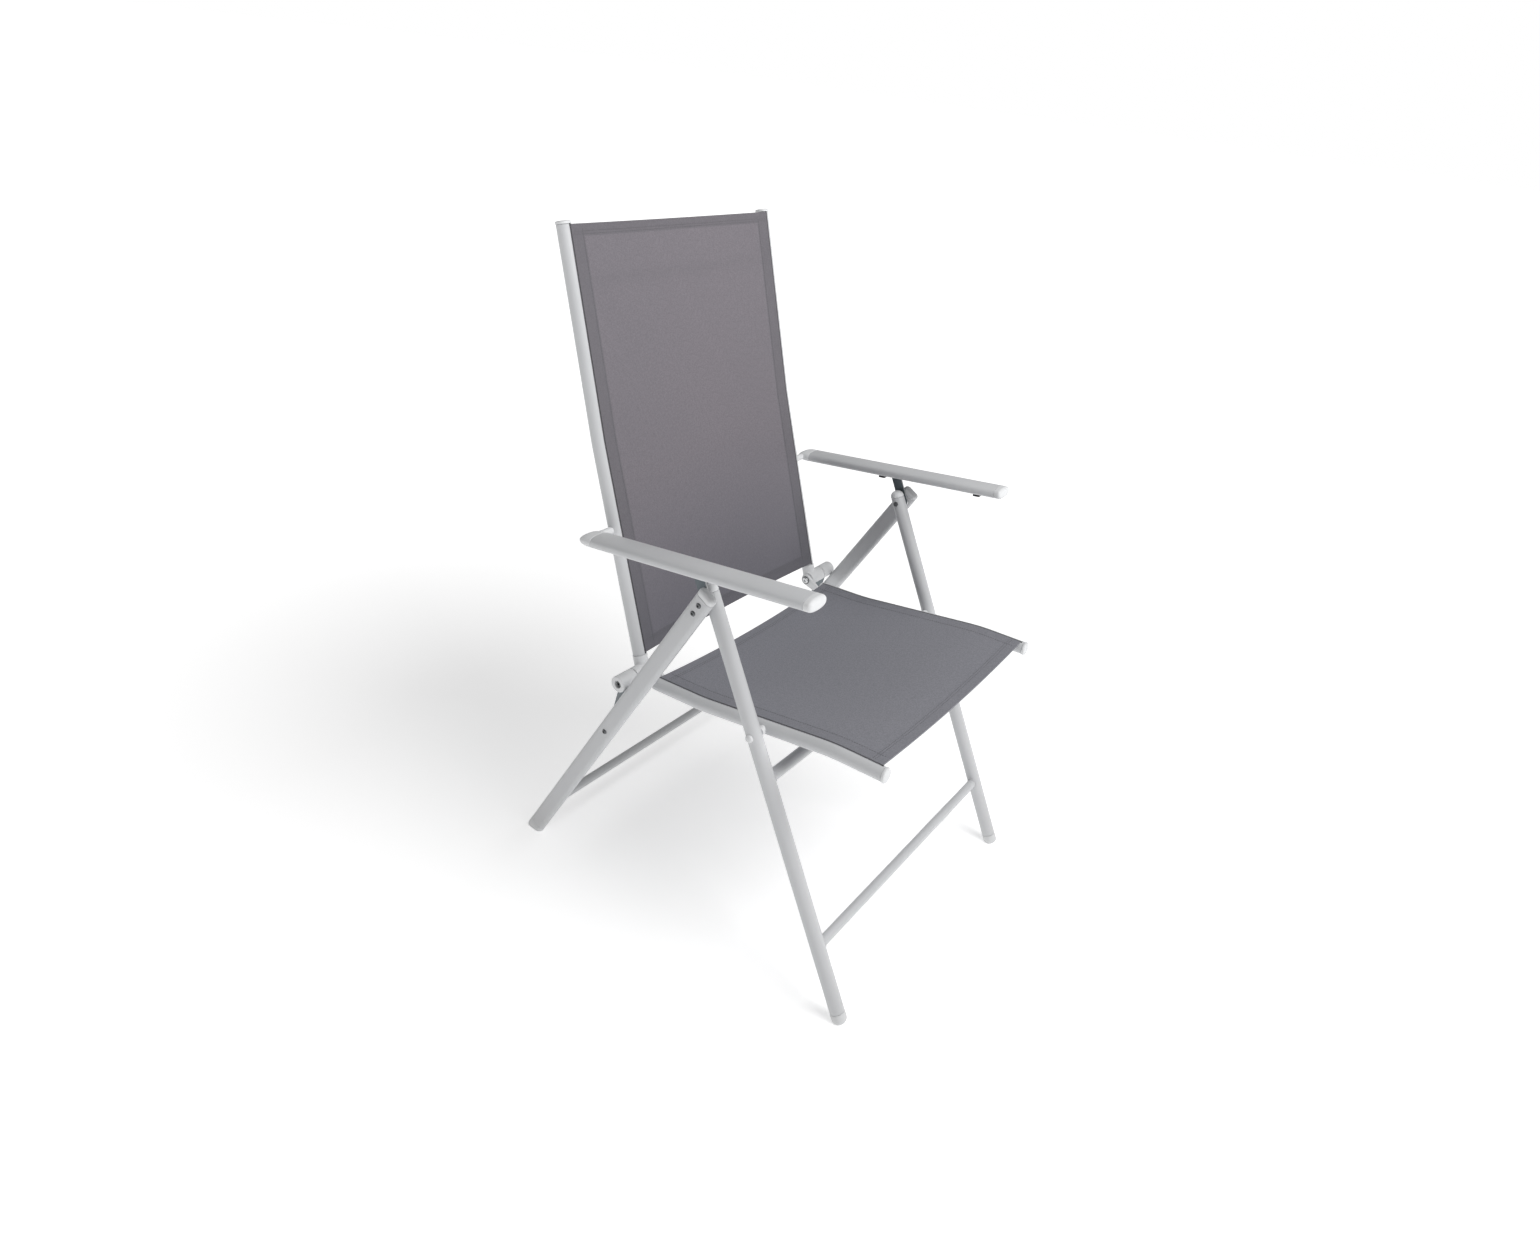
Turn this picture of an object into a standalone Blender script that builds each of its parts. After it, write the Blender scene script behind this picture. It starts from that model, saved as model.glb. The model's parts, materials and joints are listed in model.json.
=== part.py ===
"""Reclining folding chair: tube frame, textile seat and back, flat armrests on racks.

Metres, +Z up. X is across the chair, +X on the sitter's left; the sitter faces -Y.
The origin is on the floor, at the middle of the chair's outer box.
"Side" coordinates are 2D vectors (y, z); u is a distance down a leg from the leg pivot.
"""
import math

import bmesh
import bpy
from mathutils import Matrix, Vector

# Stance: the leg pivot and where the legs meet the floor.
PIVOT_HEIGHT = 0.602
FRONT_REACH = 0.3204
REAR_REACH = 0.3291

# Sideways places of the tube centres.
BODY_X = 0.2374          # seat and back tubes
FRONT_LEG_X = 0.2675
ARM_X = 0.2880
LEG_ROOM = 0.0040        # between a front leg and its rear leg

# Sections.
FRONT_LEG_R = 0.0120
BODY_TUBE_R = 0.0110
REAR_LEG_WIDTH = 0.0310
REAR_LEG_THICK = 0.0160
ARM_WIDTH = 0.0420
ARM_HEIGHT = 0.0200
ARM_POWER = 2.5          # 2 is an ellipse, more is squarer
UPPER_BAR_R = 0.0095
LOWER_BAR_R = 0.0080
REAR_BAR_R = 0.0080
SPREADER_R = 0.0075
TUBE_WALL = 0.0015
ARM_WALL = 0.0018
PLATE_THICK = 0.0030
LINK_THICK = 0.0040
LINK_WIDTH = 0.0150
LINK_CLEAR = 0.0008
EYE_THICK = 0.0060
EYE_NOSE = 0.0050        # fitting beyond the seat tube's rear end

# Places along the legs.
LEG_TOP = 0.0100         # tube end above the pivot
REAR_LEG_TOP = 0.0120
LEG_CAP = 0.0110         # cap above the tube end
LEG_END = 0.0170         # tube end above the floor, along the leg
SEAT_PIVOT_U = 0.2115
UPPER_BAR_U = 0.2810
LOWER_BAR_U = 0.5550
REAR_BAR_U = 0.5890
HINGE_U = 0.2468         # seat hinge, measured down the rear leg
LINK_PIVOT_U = 0.3450

# Seat, measured from the seat pivot: forward is -Y.
SEAT_SLOPE = 0.1700      # fall per metre of the middle stretch
SEAT_FRONT_SLOPE = 0.0500
SEAT_REAR_SLOPE = 0.0820
SEAT_FRONT_BEND = 0.1156
SEAT_REAR_BEND = 0.1194
SEAT_FRONT_END = 0.2000
SEAT_BEND_R = 0.4000
SEAT_EYE_REACH = 0.0290  # hinge to the seat tube's rear end
SEAT_SLING_INSET = 0.0060
SEAT_SLING_REAR = 0.0060
SPREADER_INSET = 0.0620

# Back, measured up from the hinge.
BACK_LEAN = math.radians(18.8)
BACK_UPPER_LEAN = math.radians(16.2)
BACK_SETBACK = 0.0040    # tube axis behind the hinge
BACK_BEND = 0.3700
BACK_BEND_R = 0.5000
BACK_LENGTH = 0.6900
BACK_COLLAR = 0.0270
BACK_SLING_START = 0.0300
BACK_SLING_INSET = 0.0040
BACK_LOW_BAR = 0.0760
BACK_TOP_BAR = 0.0560    # below the tube's top

# Hinge barrel.
BARREL_R = 0.0135
BARREL_LENGTH = 0.0394
BARREL_STEP = 0.0013     # barrel's inner end beyond the tube
BARREL_EDGE = 0.0012
HINGE_GROOVE = 0.0010
SLEEVE_R = 0.0065        # steel sleeve of the hinge bolt, inside the barrel
EYE_R = 0.0105
EYE_HEEL_R = 0.0060
BUMPER_INSET = 0.0006    # inside the rear leg's outer face

# Armrest.
ARM_PIVOT_S = 0.2349     # up the back tube from the hinge
ARM_LENGTH = 0.4080
ARM_REAR_TUBE = 0.0170
ARM_REAR_CAP = 0.0105
ARM_FRONT_CAP = 0.0070
ARM_FRONT_DOME = 0.0120
ARM_PLUG = 0.0180
ARM_CAP_ROUND = 0.4000   # edge rounding of an arm cap, as a share of the arm's height
ARM_CAP_WALL = 0.3000    # straight share of an arm cap's length
ARM_SHOULDER_R = 0.0060
RACK_BEHIND = 0.0320     # channel's rear end behind its first notch
RACK_FRONT = 0.0360      # channel's front end short of the arm's length
RACK_INNER = 0.0120
RACK_WALL = 0.0015
RACK_ROOF = 0.0040       # channel roof above the arm's axis
RACK_LIP = 0.0020        # below the arm's underside
NOTCH_COUNT = 7
NOTCH_PITCH = 0.0185
NOTCH_R = 0.0034
NOTCH_SUNK = 0.0024      # notch centre below the channel's roof
BRACKET_WIDTH = 0.0190
BRACKET_FOOT = 0.0020    # lower end's centre below the leg pivot
PIN_REACH = 0.0490       # rack pin above the leg pivot
PIN_BELOW = 0.0039       # rack pin below the arm's axis
PIN_DROP = 0.0053        # the bracket's round end is centred this far below its pin
PIN_R = 0.0030

# Slings.
SLING_THICK = 0.0020
SLING_RISE = 0.0070      # above the tube axis, on the sitter's side
SLING_SAG = 0.0060
SLING_SIDE_GAP = 0.0006
CLOTH_STEP = 0.0040      # least spacing of the cloth's rows
SPREADER_BOW = 0.0170
SPREADER_DROP = 0.0025   # bar axis behind the tube axis, at its ends

# Fasteners and fits.
GAP = 0.0003
BOLT_R = 0.0030
HEAD_R = 0.0056
HEAD_H = 0.0036
NUT_R = 0.0046
NUT_H = 0.0034
SPACER_R = 0.0070
PLUG_CLEAR = 0.0004
PLUG_DEPTH = 0.0200
SHORT_PLUG = 0.0055
CAP_RIM = 0.0010         # straight rim below a cap's dome
TUBE_CAP_DOME = 0.0035
REAR_CAP_WALL = 0.0050
REAR_CAP_ROUND = 0.0055
HEAD_RIM = 0.0008        # straight rim below a bolt's dome
FLAT_HEAD = 0.0018
TIP_CLEAR = 0.0010       # a bolt's end inside a blind bore or below a face
COPE_REACH = 0.0600
COPE_DEPTH = 0.0040      # how far a coped end reaches into the outline of what it meets
HOLE_REACH = 0.0200
DOME_FULLNESS = 0.8      # 1 is an ellipse, less is fuller
ROUND = 18               # sides of a tube
SMALL_ROUND = 12         # sides of a bolt or a bowed bar

FRONT_DOWN = Vector((-FRONT_REACH, -PIVOT_HEIGHT)).normalized()
REAR_DOWN = Vector((REAR_REACH, -PIVOT_HEIGHT)).normalized()
REAR_BEHIND = Vector((-REAR_DOWN.y, REAR_DOWN.x))
BACK_UP = Vector((math.sin(BACK_LEAN), math.cos(BACK_LEAN)))
BACK_UPPER = Vector((math.sin(BACK_UPPER_LEAN), math.cos(BACK_UPPER_LEAN)))
BACK_BEHIND = Vector((BACK_UP.y, -BACK_UP.x))


def hinge_from_pivot():
    clear = REAR_LEG_WIDTH / 2 + BARREL_R + GAP
    return HINGE_U * REAR_DOWN + clear * REAR_BEHIND


def centring_shift():
    """How far the leg pivot stands from the middle of the chair's outer box, along Y."""
    front = -FRONT_REACH - (FRONT_LEG_R + GAP) / -FRONT_DOWN.y
    up = BACK_BEND * BACK_UP + (BACK_LENGTH - BACK_BEND) * BACK_UPPER
    rear = (hinge_from_pivot() + BACK_SETBACK * BACK_BEHIND + up).x + BODY_TUBE_R * BACK_UPPER.y
    return -(front + rear) / 2


PIVOT = Vector((centring_shift(), PIVOT_HEIGHT))
HINGE = PIVOT + hinge_from_pivot()
SEAT_PIVOT = PIVOT + SEAT_PIVOT_U * FRONT_DOWN
LINK_PIVOT = PIVOT + LINK_PIVOT_U * REAR_DOWN
BACK_ROOT = HINGE + BACK_SETBACK * BACK_BEHIND
ARM_PIVOT = BACK_ROOT + ARM_PIVOT_S * BACK_UP
RACK_PIN = PIVOT - PIN_REACH * FRONT_DOWN
TO_PIN = RACK_PIN - ARM_PIVOT
ARM_RISE = math.atan2(TO_PIN.y, -TO_PIN.x) + math.asin(PIN_BELOW / TO_PIN.length)
ARM_FORWARD = Vector((-math.cos(ARM_RISE), math.sin(ARM_RISE)))
FIRST_NOTCH = TO_PIN.dot(ARM_FORWARD)
RACK_START = FIRST_NOTCH - RACK_BEHIND
RACK_END = ARM_LENGTH - RACK_FRONT

FRONT_LEG_OUT = FRONT_LEG_X + FRONT_LEG_R
REAR_LEG_X = FRONT_LEG_X + FRONT_LEG_R + LEG_ROOM + REAR_LEG_THICK / 2
REAR_LEG_IN = REAR_LEG_X - REAR_LEG_THICK / 2
REAR_LEG_OUT = REAR_LEG_X + REAR_LEG_THICK / 2
PLATE_X = (FRONT_LEG_OUT + REAR_LEG_IN) / 2
BODY_OUT = BODY_X + BODY_TUBE_R
BODY_IN = BODY_X - BODY_TUBE_R
BARREL_INNER = BODY_IN - BARREL_STEP
BARREL_OUT = BARREL_INNER + BARREL_LENGTH
LINK_OUT = REAR_LEG_IN - LINK_CLEAR
LINK_IN = LINK_OUT - LINK_THICK
BUMPER_IN = BARREL_OUT + HINGE_GROOVE
BUMPER_OUT = REAR_LEG_OUT - BUMPER_INSET
ARM_IN = ARM_X - ARM_WIDTH / 2

MATERIALS = {
    "frame_paint": ((0.66, 0.67, 0.68), 0.42, 0.0),
    "cap_plastic": ((0.72, 0.73, 0.74), 0.50, 0.0),
    "steel": ((0.55, 0.56, 0.57), 0.32, 1.0),
    "bracket_paint": ((0.10, 0.12, 0.14), 0.45, 0.0),
    "rack_plastic": ((0.03, 0.03, 0.03), 0.55, 0.0),
    "sling_fabric": ((0.19, 0.185, 0.195), 0.85, 0.0),
}


# ---------------------------------------------------------------- scene and objects

def clear_scene():
    for obj in list(bpy.data.objects):
        bpy.data.objects.remove(obj, do_unlink=True)


def new_collection(name):
    collection = bpy.data.collections.new(name)
    bpy.context.scene.collection.children.link(collection)
    return collection


clear_scene()
CHAIR = new_collection("folding_chair")
CUTTERS = new_collection("cutters")


def material(name):
    if name in bpy.data.materials:
        return bpy.data.materials[name]
    colour, roughness, metallic = MATERIALS[name]
    made = bpy.data.materials.new(name)
    made.use_nodes = True
    shader = made.node_tree.nodes["Principled BSDF"]
    shader.inputs["Base Color"].default_value = (*colour, 1.0)
    shader.inputs["Roughness"].default_value = roughness
    shader.inputs["Metallic"].default_value = metallic
    return made


def add_object(name, data, frame, finish=None):
    """Adds an object at a frame: a piece with a finish, or a hidden cutter without one."""
    obj = bpy.data.objects.new(name, data)
    obj.matrix_world = frame
    if finish:
        CHAIR.objects.link(obj)
        data.materials.append(material(finish))
    else:
        CUTTERS.objects.link(obj)
        obj.hide_render = True
        obj.display_type = "WIRE"
    return obj


def evaluated_mesh(obj):
    bpy.context.view_layer.update()
    graph = bpy.context.evaluated_depsgraph_get()
    return bpy.data.meshes.new_from_object(obj.evaluated_get(graph), depsgraph=graph)


def welded(mesh):
    """Joins the loose caps of a converted curve and turns every face outwards."""
    shape = bmesh.new()
    shape.from_mesh(mesh)
    bmesh.ops.remove_doubles(shape, verts=shape.verts, dist=1e-6)
    bmesh.ops.recalc_face_normals(shape, faces=shape.faces)
    shape.to_mesh(mesh)
    shape.free()
    return mesh


def converted(obj, finish):
    """Replaces a curve by the mesh of its shape."""
    mesh = evaluated_mesh(obj)
    name, frame = obj.name, obj.matrix_world.copy()
    bpy.data.objects.remove(obj)
    mesh.materials.clear()
    return add_object(name, mesh, frame, finish)


def apply_boolean(obj, other, operation):
    modifier = obj.modifiers.new(other.name, "BOOLEAN")
    modifier.operation = operation
    modifier.object = other
    return obj


def cut(obj, *others):
    for other in others:
        apply_boolean(obj, other, "DIFFERENCE")
    return obj


def join(obj, *others):
    for other in others:
        apply_boolean(obj, other, "UNION")
    return obj


def smooth(obj):
    """Shades the flat facets of a round piece smooth, up to its real edges."""
    obj.data.shade_smooth()
    obj.data.set_sharp_from_angle(angle=math.radians(35))


def mirrored(obj, name):
    """The same piece on the right-hand side of the chair, its origin mirrored too."""
    mesh = evaluated_mesh(obj)
    origin = obj.matrix_world.translation.copy()
    origin.x = -origin.x
    mesh.transform(Matrix.Translation(-origin) @ Matrix.Diagonal((-1, 1, 1, 1)) @ obj.matrix_world)
    mesh.flip_normals()
    finish = mesh.materials[0].name
    mesh.materials.clear()
    return add_object(name, mesh, Matrix.Translation(origin), finish)


def pair(build):
    """Builds a piece on the left and its mirror on the right; both are returned."""
    left = build()
    smooth(left)
    return left, mirrored(left, left.name.replace("_left", "_right"))


def single(build):
    obj = build()
    smooth(obj)
    return obj


# ---------------------------------------------------------------- frames

def across(point, x):
    """Local Z along the chair's X, at a side point; local X and Y are the side's Y and Z."""
    return Matrix(((0, 0, 1, x), (1, 0, 0, point.x), (0, 1, 0, point.y), (0, 0, 0, 1)))


def along(point, direction, x):
    """Local Z along a direction in the side plane; local X is the chair's X."""
    y, z = direction
    return Matrix(((1, 0, 0, x), (0, z, y, point.x), (0, -y, z, point.y), (0, 0, 0, 1)))


# ---------------------------------------------------------------- shapes

def turned(name, profile, frame, finish=None, closed=False, sides=ROUND):
    """A turned piece: (radius, z) points run down the outer side; a closed one is hollow."""
    count = len(profile)
    edges = [(i, i + 1) for i in range(count - 1)]
    if closed:
        edges.append((count - 1, 0))
    mesh = bpy.data.meshes.new(name)
    mesh.from_pydata([(r, 0.0, z) for r, z in profile], edges, [])
    obj = add_object(name, mesh, frame, finish)
    screw = obj.modifiers.new("turn", "SCREW")
    screw.axis = "Z"
    screw.steps = sides
    screw.render_steps = sides
    screw.use_merge_vertices = True
    screw.merge_threshold = 1e-5
    screw.use_smooth_shade = True
    return obj


def rod(name, radius, low, high, frame, finish=None, sides=ROUND):
    return turned(name, [(0, high), (radius, high), (radius, low), (0, low)], frame, finish, sides=sides)


def pipe(name, outer, inner, low, high, frame, finish):
    profile = [(outer, high), (outer, low), (inner, low), (inner, high)]
    return turned(name, profile, frame, finish, closed=True)


def dome(radius, height, base, steps=4):
    """Profile points of a rounded end, from its tip down to its base."""
    angles = [math.pi / 2 * (1 - i / steps) for i in range(steps + 1)]
    return [(radius * math.cos(a) ** DOME_FULLNESS if a < math.pi / 2 else 0.0, base + height * math.sin(a))
            for a in angles]


def box(name, low, high, frame):
    shape = bmesh.new()
    bmesh.ops.create_cube(shape, size=1.0)
    size = [high[i] - low[i] for i in range(3)]
    middle = [(high[i] + low[i]) / 2 for i in range(3)]
    shape.transform(Matrix.Translation(middle) @ Matrix.Diagonal((*size, 1)))
    mesh = bpy.data.meshes.new(name)
    shape.to_mesh(mesh)
    shape.free()
    return add_object(name, mesh, frame)


def circle_points(centre, radius, count=ROUND):
    turn = 2 * math.pi / count
    return [centre + radius * Vector((math.cos(i * turn), math.sin(i * turn))) for i in range(count)]


def strap_points(start, end, radius, end_radius=None, steps=8):
    """Outline of a flat bar with round ends about two side points."""
    end_radius = end_radius or radius
    heading = math.atan2(end.y - start.y, end.x - start.x)
    points = []
    for centre, size, first in ((end, end_radius, heading - math.pi / 2),
                                (start, radius, heading + math.pi / 2)):
        for i in range(steps + 1):
            angle = first + math.pi * i / steps
            points.append(centre + size * Vector((math.cos(angle), math.sin(angle))))
    return points


def flat_plate(name, outlines, low_x, high_x, finish=None):
    """A plate cut from sheet: the first outline is its edge, the others are its holes."""
    curve = bpy.data.curves.new(name, "CURVE")
    curve.dimensions = "2D"
    curve.fill_mode = "BOTH"
    curve.extrude = (high_x - low_x) / 2
    origin = sum(outlines[0], Vector((0, 0))) / len(outlines[0])
    for outline in outlines:
        spline = curve.splines.new("POLY")
        spline.points.add(len(outline) - 1)
        spline.use_cyclic_u = True
        for point, place in zip(spline.points, outline):
            point.co = (*(place - origin), 0, 1)
    obj = add_object(name, curve, across(origin, (low_x + high_x) / 2), "steel")
    obj = converted(obj, finish)
    welded(obj.data)
    return obj


def bent_tube(name, path, radius, wall, finish, sides=16):
    """A tube bent along a path of 3D points; it is hollow when it has a wall."""
    curve = bpy.data.curves.new(name, "CURVE")
    curve.dimensions = "3D"
    curve.bevel_depth = radius
    curve.bevel_resolution = sides // 2 - 2
    curve.use_fill_caps = not wall
    spline = curve.splines.new("POLY")
    spline.points.add(len(path) - 1)
    middle = path[len(path) // 2]
    for point, place in zip(spline.points, path):
        point.co = (*(place - middle), 1)
    obj = converted(add_object(name, curve, Matrix.Translation(middle), finish), finish)
    welded(obj.data)
    if wall:
        solidify = obj.modifiers.new("wall", "SOLIDIFY")
        solidify.thickness = wall
        solidify.offset = -1
        solidify.use_even_offset = True
    return obj


def filleted(corners, radius, steps=4):
    """A side path whose inner corners are rounded by arcs of one radius."""
    path = [corners[0]]
    for before, corner, after in zip(corners, corners[1:], corners[2:]):
        back = (before - corner).normalized()
        ahead = (after - corner).normalized()
        half = (math.pi - back.angle(ahead)) / 2
        reach = radius * math.tan(half)
        start, end = corner + back * reach, corner + ahead * reach
        for i in range(steps + 1):
            t = i / steps
            path.append((1 - t) ** 2 * start + 2 * t * (1 - t) * corner + t ** 2 * end)
    path.append(corners[-1])
    return path


def in_side_plane(points, x):
    return [Vector((x, p.x, p.y)) for p in points]


def oval(width, height, power=2.0, count=20):
    """Outline of a superellipse, width along local X."""
    points = []
    for i in range(count):
        angle = 2 * math.pi * i / count
        c, s = math.cos(angle), math.sin(angle)
        points.append(Vector((math.copysign(abs(c) ** (2 / power), c) * width / 2,
                              math.copysign(abs(s) ** (2 / power), s) * height / 2)))
    return points


def stadium(width, height, steps=6):
    """Outline with straight long sides and round ends; the long side runs along local Y."""
    radius = width / 2
    points = []
    for sign in (1, -1):
        for i in range(steps + 1):
            angle = math.pi * i / steps + (0 if sign > 0 else math.pi)
            points.append(Vector((radius * math.cos(angle),
                                  radius * math.sin(angle) + sign * (height / 2 - radius))))
    return points


def lofted(name, rings, frame, finish=None, hollow=False):
    """A skin over rings of equal point count, each a pair of outline and local z.

    A hollow loft closes its last ring on its first, as a tube wall does."""
    shape = bmesh.new()
    loops = [[shape.verts.new((p.x, p.y, z)) for p in outline] for outline, z in rings]
    following = loops[1:] + loops[:1] if hollow else loops[1:]
    for lower, upper in zip(loops, following):
        count = len(lower)
        for i in range(count):
            j = (i + 1) % count
            shape.faces.new((lower[i], lower[j], upper[j], upper[i]))
    if not hollow:
        shape.faces.new(loops[0])
        shape.faces.new(loops[-1])
    bmesh.ops.recalc_face_normals(shape, faces=shape.faces)
    mesh = bpy.data.meshes.new(name)
    shape.to_mesh(mesh)
    shape.free()
    return add_object(name, mesh, frame, finish)


def bolt_hole(name, point, low_x, high_x):
    return rod(name, BOLT_R + GAP, low_x, high_x, across(point, 0), sides=SMALL_ROUND)


def coped_bar(name, point, radius, reach, cope_r, cope_frames, finish):
    """A cross tube at a side point, its ends cut to fit the round tubes that it joins."""
    bar = pipe(name, radius, radius - TUBE_WALL, -reach, reach, across(point, 0), finish)
    for number, frame in enumerate(cope_frames):
        cut(bar, rod(f"{name}_cope_{number}", cope_r, -COPE_REACH, COPE_REACH, frame))
    return bar


# ---------------------------------------------------------------- front frame

def front_leg():
    foot = FRONT_DOWN.y
    length = PIVOT_HEIGHT / -foot
    leg = pipe("front_leg_left", FRONT_LEG_R, FRONT_LEG_R - TUBE_WALL, -LEG_TOP, length - LEG_END,
               along(PIVOT, FRONT_DOWN, FRONT_LEG_X), "frame_paint")
    low, high = FRONT_LEG_X - HOLE_REACH, FRONT_LEG_X + HOLE_REACH
    return cut(leg, bolt_hole("front_leg_top_hole", PIVOT, low, high),
               bolt_hole("front_leg_seat_hole", SEAT_PIVOT, low, high))


def floor_cutter(name):
    reach = FRONT_REACH + REAR_REACH
    return box(name, (-reach, -reach, -reach), (reach, reach, 0.0), Matrix.Identity(4))


def front_foot():
    """A plastic foot: plug in the tube, flush collar, and a sole cut level with the floor."""
    length = PIVOT_HEIGHT / -FRONT_DOWN.y
    plug = FRONT_LEG_R - TUBE_WALL - PLUG_CLEAR
    outer = FRONT_LEG_R + GAP
    end = LEG_END - GAP
    profile = [(0, end + PLUG_DEPTH), (plug, end + PLUG_DEPTH), (plug, end),
               (outer, end), (outer, -FRONT_LEG_R / 2), (0, -FRONT_LEG_R / 2)]
    point = PIVOT + length * FRONT_DOWN
    foot = turned("front_foot_left", profile, along(point, -FRONT_DOWN, FRONT_LEG_X), "cap_plastic")
    return cut(foot, floor_cutter("front_foot_floor"))


def front_leg_cap():
    plug = FRONT_LEG_R - TUBE_WALL - PLUG_CLEAR
    base = LEG_TOP + GAP
    profile = dome(FRONT_LEG_R, LEG_CAP, base + CAP_RIM) + [
        (FRONT_LEG_R, base), (plug, base), (plug, base - SHORT_PLUG), (0, base - SHORT_PLUG)]
    return turned("front_leg_cap_left", profile, along(PIVOT, -FRONT_DOWN, FRONT_LEG_X), "cap_plastic")


def front_bar(name, u, radius):
    frames = [along(PIVOT + u * FRONT_DOWN, FRONT_DOWN, s * FRONT_LEG_X) for s in (1, -1)]
    return coped_bar(name, PIVOT + u * FRONT_DOWN, radius, FRONT_LEG_X - COPE_DEPTH,
                     FRONT_LEG_R + GAP, frames, "frame_paint")


def armrest_bracket():
    """The steel plate between the legs whose top pin sits in the armrest's rack."""
    foot = PIVOT + BRACKET_FOOT * FRONT_DOWN
    hole = circle_points(PIVOT, BOLT_R + GAP, 12)
    outline = strap_points(foot, RACK_PIN + PIN_DROP * FRONT_DOWN, BRACKET_WIDTH / 2)
    plate = flat_plate("armrest_bracket_left", [outline, hole], PLATE_X - PLATE_THICK / 2,
                       PLATE_X + PLATE_THICK / 2, "bracket_paint")
    half = RACK_INNER / 2 - TIP_CLEAR
    pin = rod("rack_pin", PIN_R, PLATE_X - half, PLATE_X + half, across(RACK_PIN, 0), sides=SMALL_ROUND)
    return join(plate, pin)


def leg_pivot_bolt():
    head = REAR_LEG_OUT + GAP
    nut = FRONT_LEG_X - FRONT_LEG_R - GAP
    profile = dome(HEAD_R, HEAD_H, head + HEAD_RIM) + [
        (HEAD_R, head), (BOLT_R, head), (BOLT_R, nut), (NUT_R, nut), (NUT_R, nut - NUT_H), (0, nut - NUT_H)]
    return turned("leg_pivot_bolt_left", profile, across(PIVOT, 0), "steel", sides=SMALL_ROUND)


def seat_pivot_bolt():
    """Dome-headed bolt through front leg, spacer and seat tube, with its nut inboard."""
    head = FRONT_LEG_OUT + GAP
    nut = BODY_IN - GAP
    profile = dome(HEAD_R, HEAD_H - HEAD_RIM, head + HEAD_RIM) + [
        (HEAD_R, head), (BOLT_R, head), (BOLT_R, nut), (NUT_R, nut), (NUT_R, nut - NUT_H), (0, nut - NUT_H)]
    return turned("seat_pivot_bolt_left", profile, across(SEAT_PIVOT, 0), "steel", sides=SMALL_ROUND)


def seat_pivot_spacer():
    """Bush between the seat tube, to which it is coped, and the front leg that it turns against."""
    bush = pipe("seat_pivot_spacer_left", SPACER_R, BOLT_R + GAP, BODY_OUT - COPE_DEPTH,
                FRONT_LEG_X - FRONT_LEG_R - GAP, across(SEAT_PIVOT, 0), "steel")
    run = Vector((1.0, -SEAT_SLOPE)).normalized()
    return cut(bush, rod("spacer_cope", BODY_TUBE_R + GAP, -COPE_REACH, COPE_REACH,
                         along(SEAT_PIVOT, run, BODY_X)))


# ---------------------------------------------------------------- rear frame

def rear_section(shrink):
    return stadium(REAR_LEG_THICK - 2 * shrink, REAR_LEG_WIDTH - 2 * shrink)


def rear_leg():
    length = PIVOT_HEIGHT / -REAR_DOWN.y
    low, high = -REAR_LEG_TOP, length - LEG_END
    outer, inner = rear_section(0), rear_section(TUBE_WALL)
    leg = lofted("rear_leg_left", [(outer, low), (outer, high), (inner, high), (inner, low)],
                 along(PIVOT, REAR_DOWN, REAR_LEG_X), "frame_paint", hollow=True)
    low, high = REAR_LEG_X - HOLE_REACH, REAR_LEG_X + HOLE_REACH
    return cut(leg, bolt_hole("rear_leg_top_hole", PIVOT, low, high),
               bolt_hole("rear_leg_link_hole", LINK_PIVOT, low, high))


def rear_foot():
    length = PIVOT_HEIGHT / -REAR_DOWN.y
    end = LEG_END - GAP
    plug, outer = rear_section(TUBE_WALL + PLUG_CLEAR), rear_section(-GAP)
    foot = lofted("rear_foot_left", [(plug, end + PLUG_DEPTH), (plug, end), (outer, end),
                                     (outer, -REAR_LEG_WIDTH / 2)],
                  along(PIVOT + length * REAR_DOWN, -REAR_DOWN, REAR_LEG_X), "cap_plastic")
    return cut(foot, floor_cutter("rear_foot_floor"))


def rear_leg_cap():
    base = REAR_LEG_TOP + GAP
    plug = rear_section(TUBE_WALL + PLUG_CLEAR)
    rings = [(plug, base - SHORT_PLUG), (plug, base), (rear_section(0), base)]
    steps = 3
    for i in range(steps + 1):
        angle = math.pi / 2 * i / steps
        shrink = REAR_CAP_ROUND * (1 - math.cos(angle))
        rings.append((rear_section(shrink), base + REAR_CAP_WALL + REAR_CAP_ROUND * math.sin(angle)))
    return lofted("rear_leg_cap_left", rings, along(PIVOT, -REAR_DOWN, REAR_LEG_X), "cap_plastic")


def rear_bar():
    reach = REAR_LEG_IN - GAP
    return pipe("rear_crossbar", REAR_BAR_R, REAR_BAR_R - TUBE_WALL, -reach, reach,
                across(PIVOT + REAR_BAR_U * REAR_DOWN, 0), "frame_paint")


def link_pivot_bolt():
    head = REAR_LEG_OUT + GAP
    nut = LINK_IN - GAP
    profile = [(0, head + FLAT_HEAD), (HEAD_R, head + HEAD_RIM), (HEAD_R, head), (BOLT_R, head),
               (BOLT_R, nut), (NUT_R, nut), (NUT_R, nut - NUT_H), (0, nut - NUT_H)]
    return turned("link_pivot_bolt_left", profile, across(LINK_PIVOT, 0), "steel", sides=SMALL_ROUND)


# ---------------------------------------------------------------- links

def link_plate():
    outline = strap_points(HINGE, LINK_PIVOT, LINK_WIDTH / 2)
    holes = [circle_points(place, BOLT_R + GAP, 12) for place in (HINGE, LINK_PIVOT)]
    return flat_plate("link_plate_left", [outline, *holes], LINK_IN, LINK_OUT, "bracket_paint")


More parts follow.
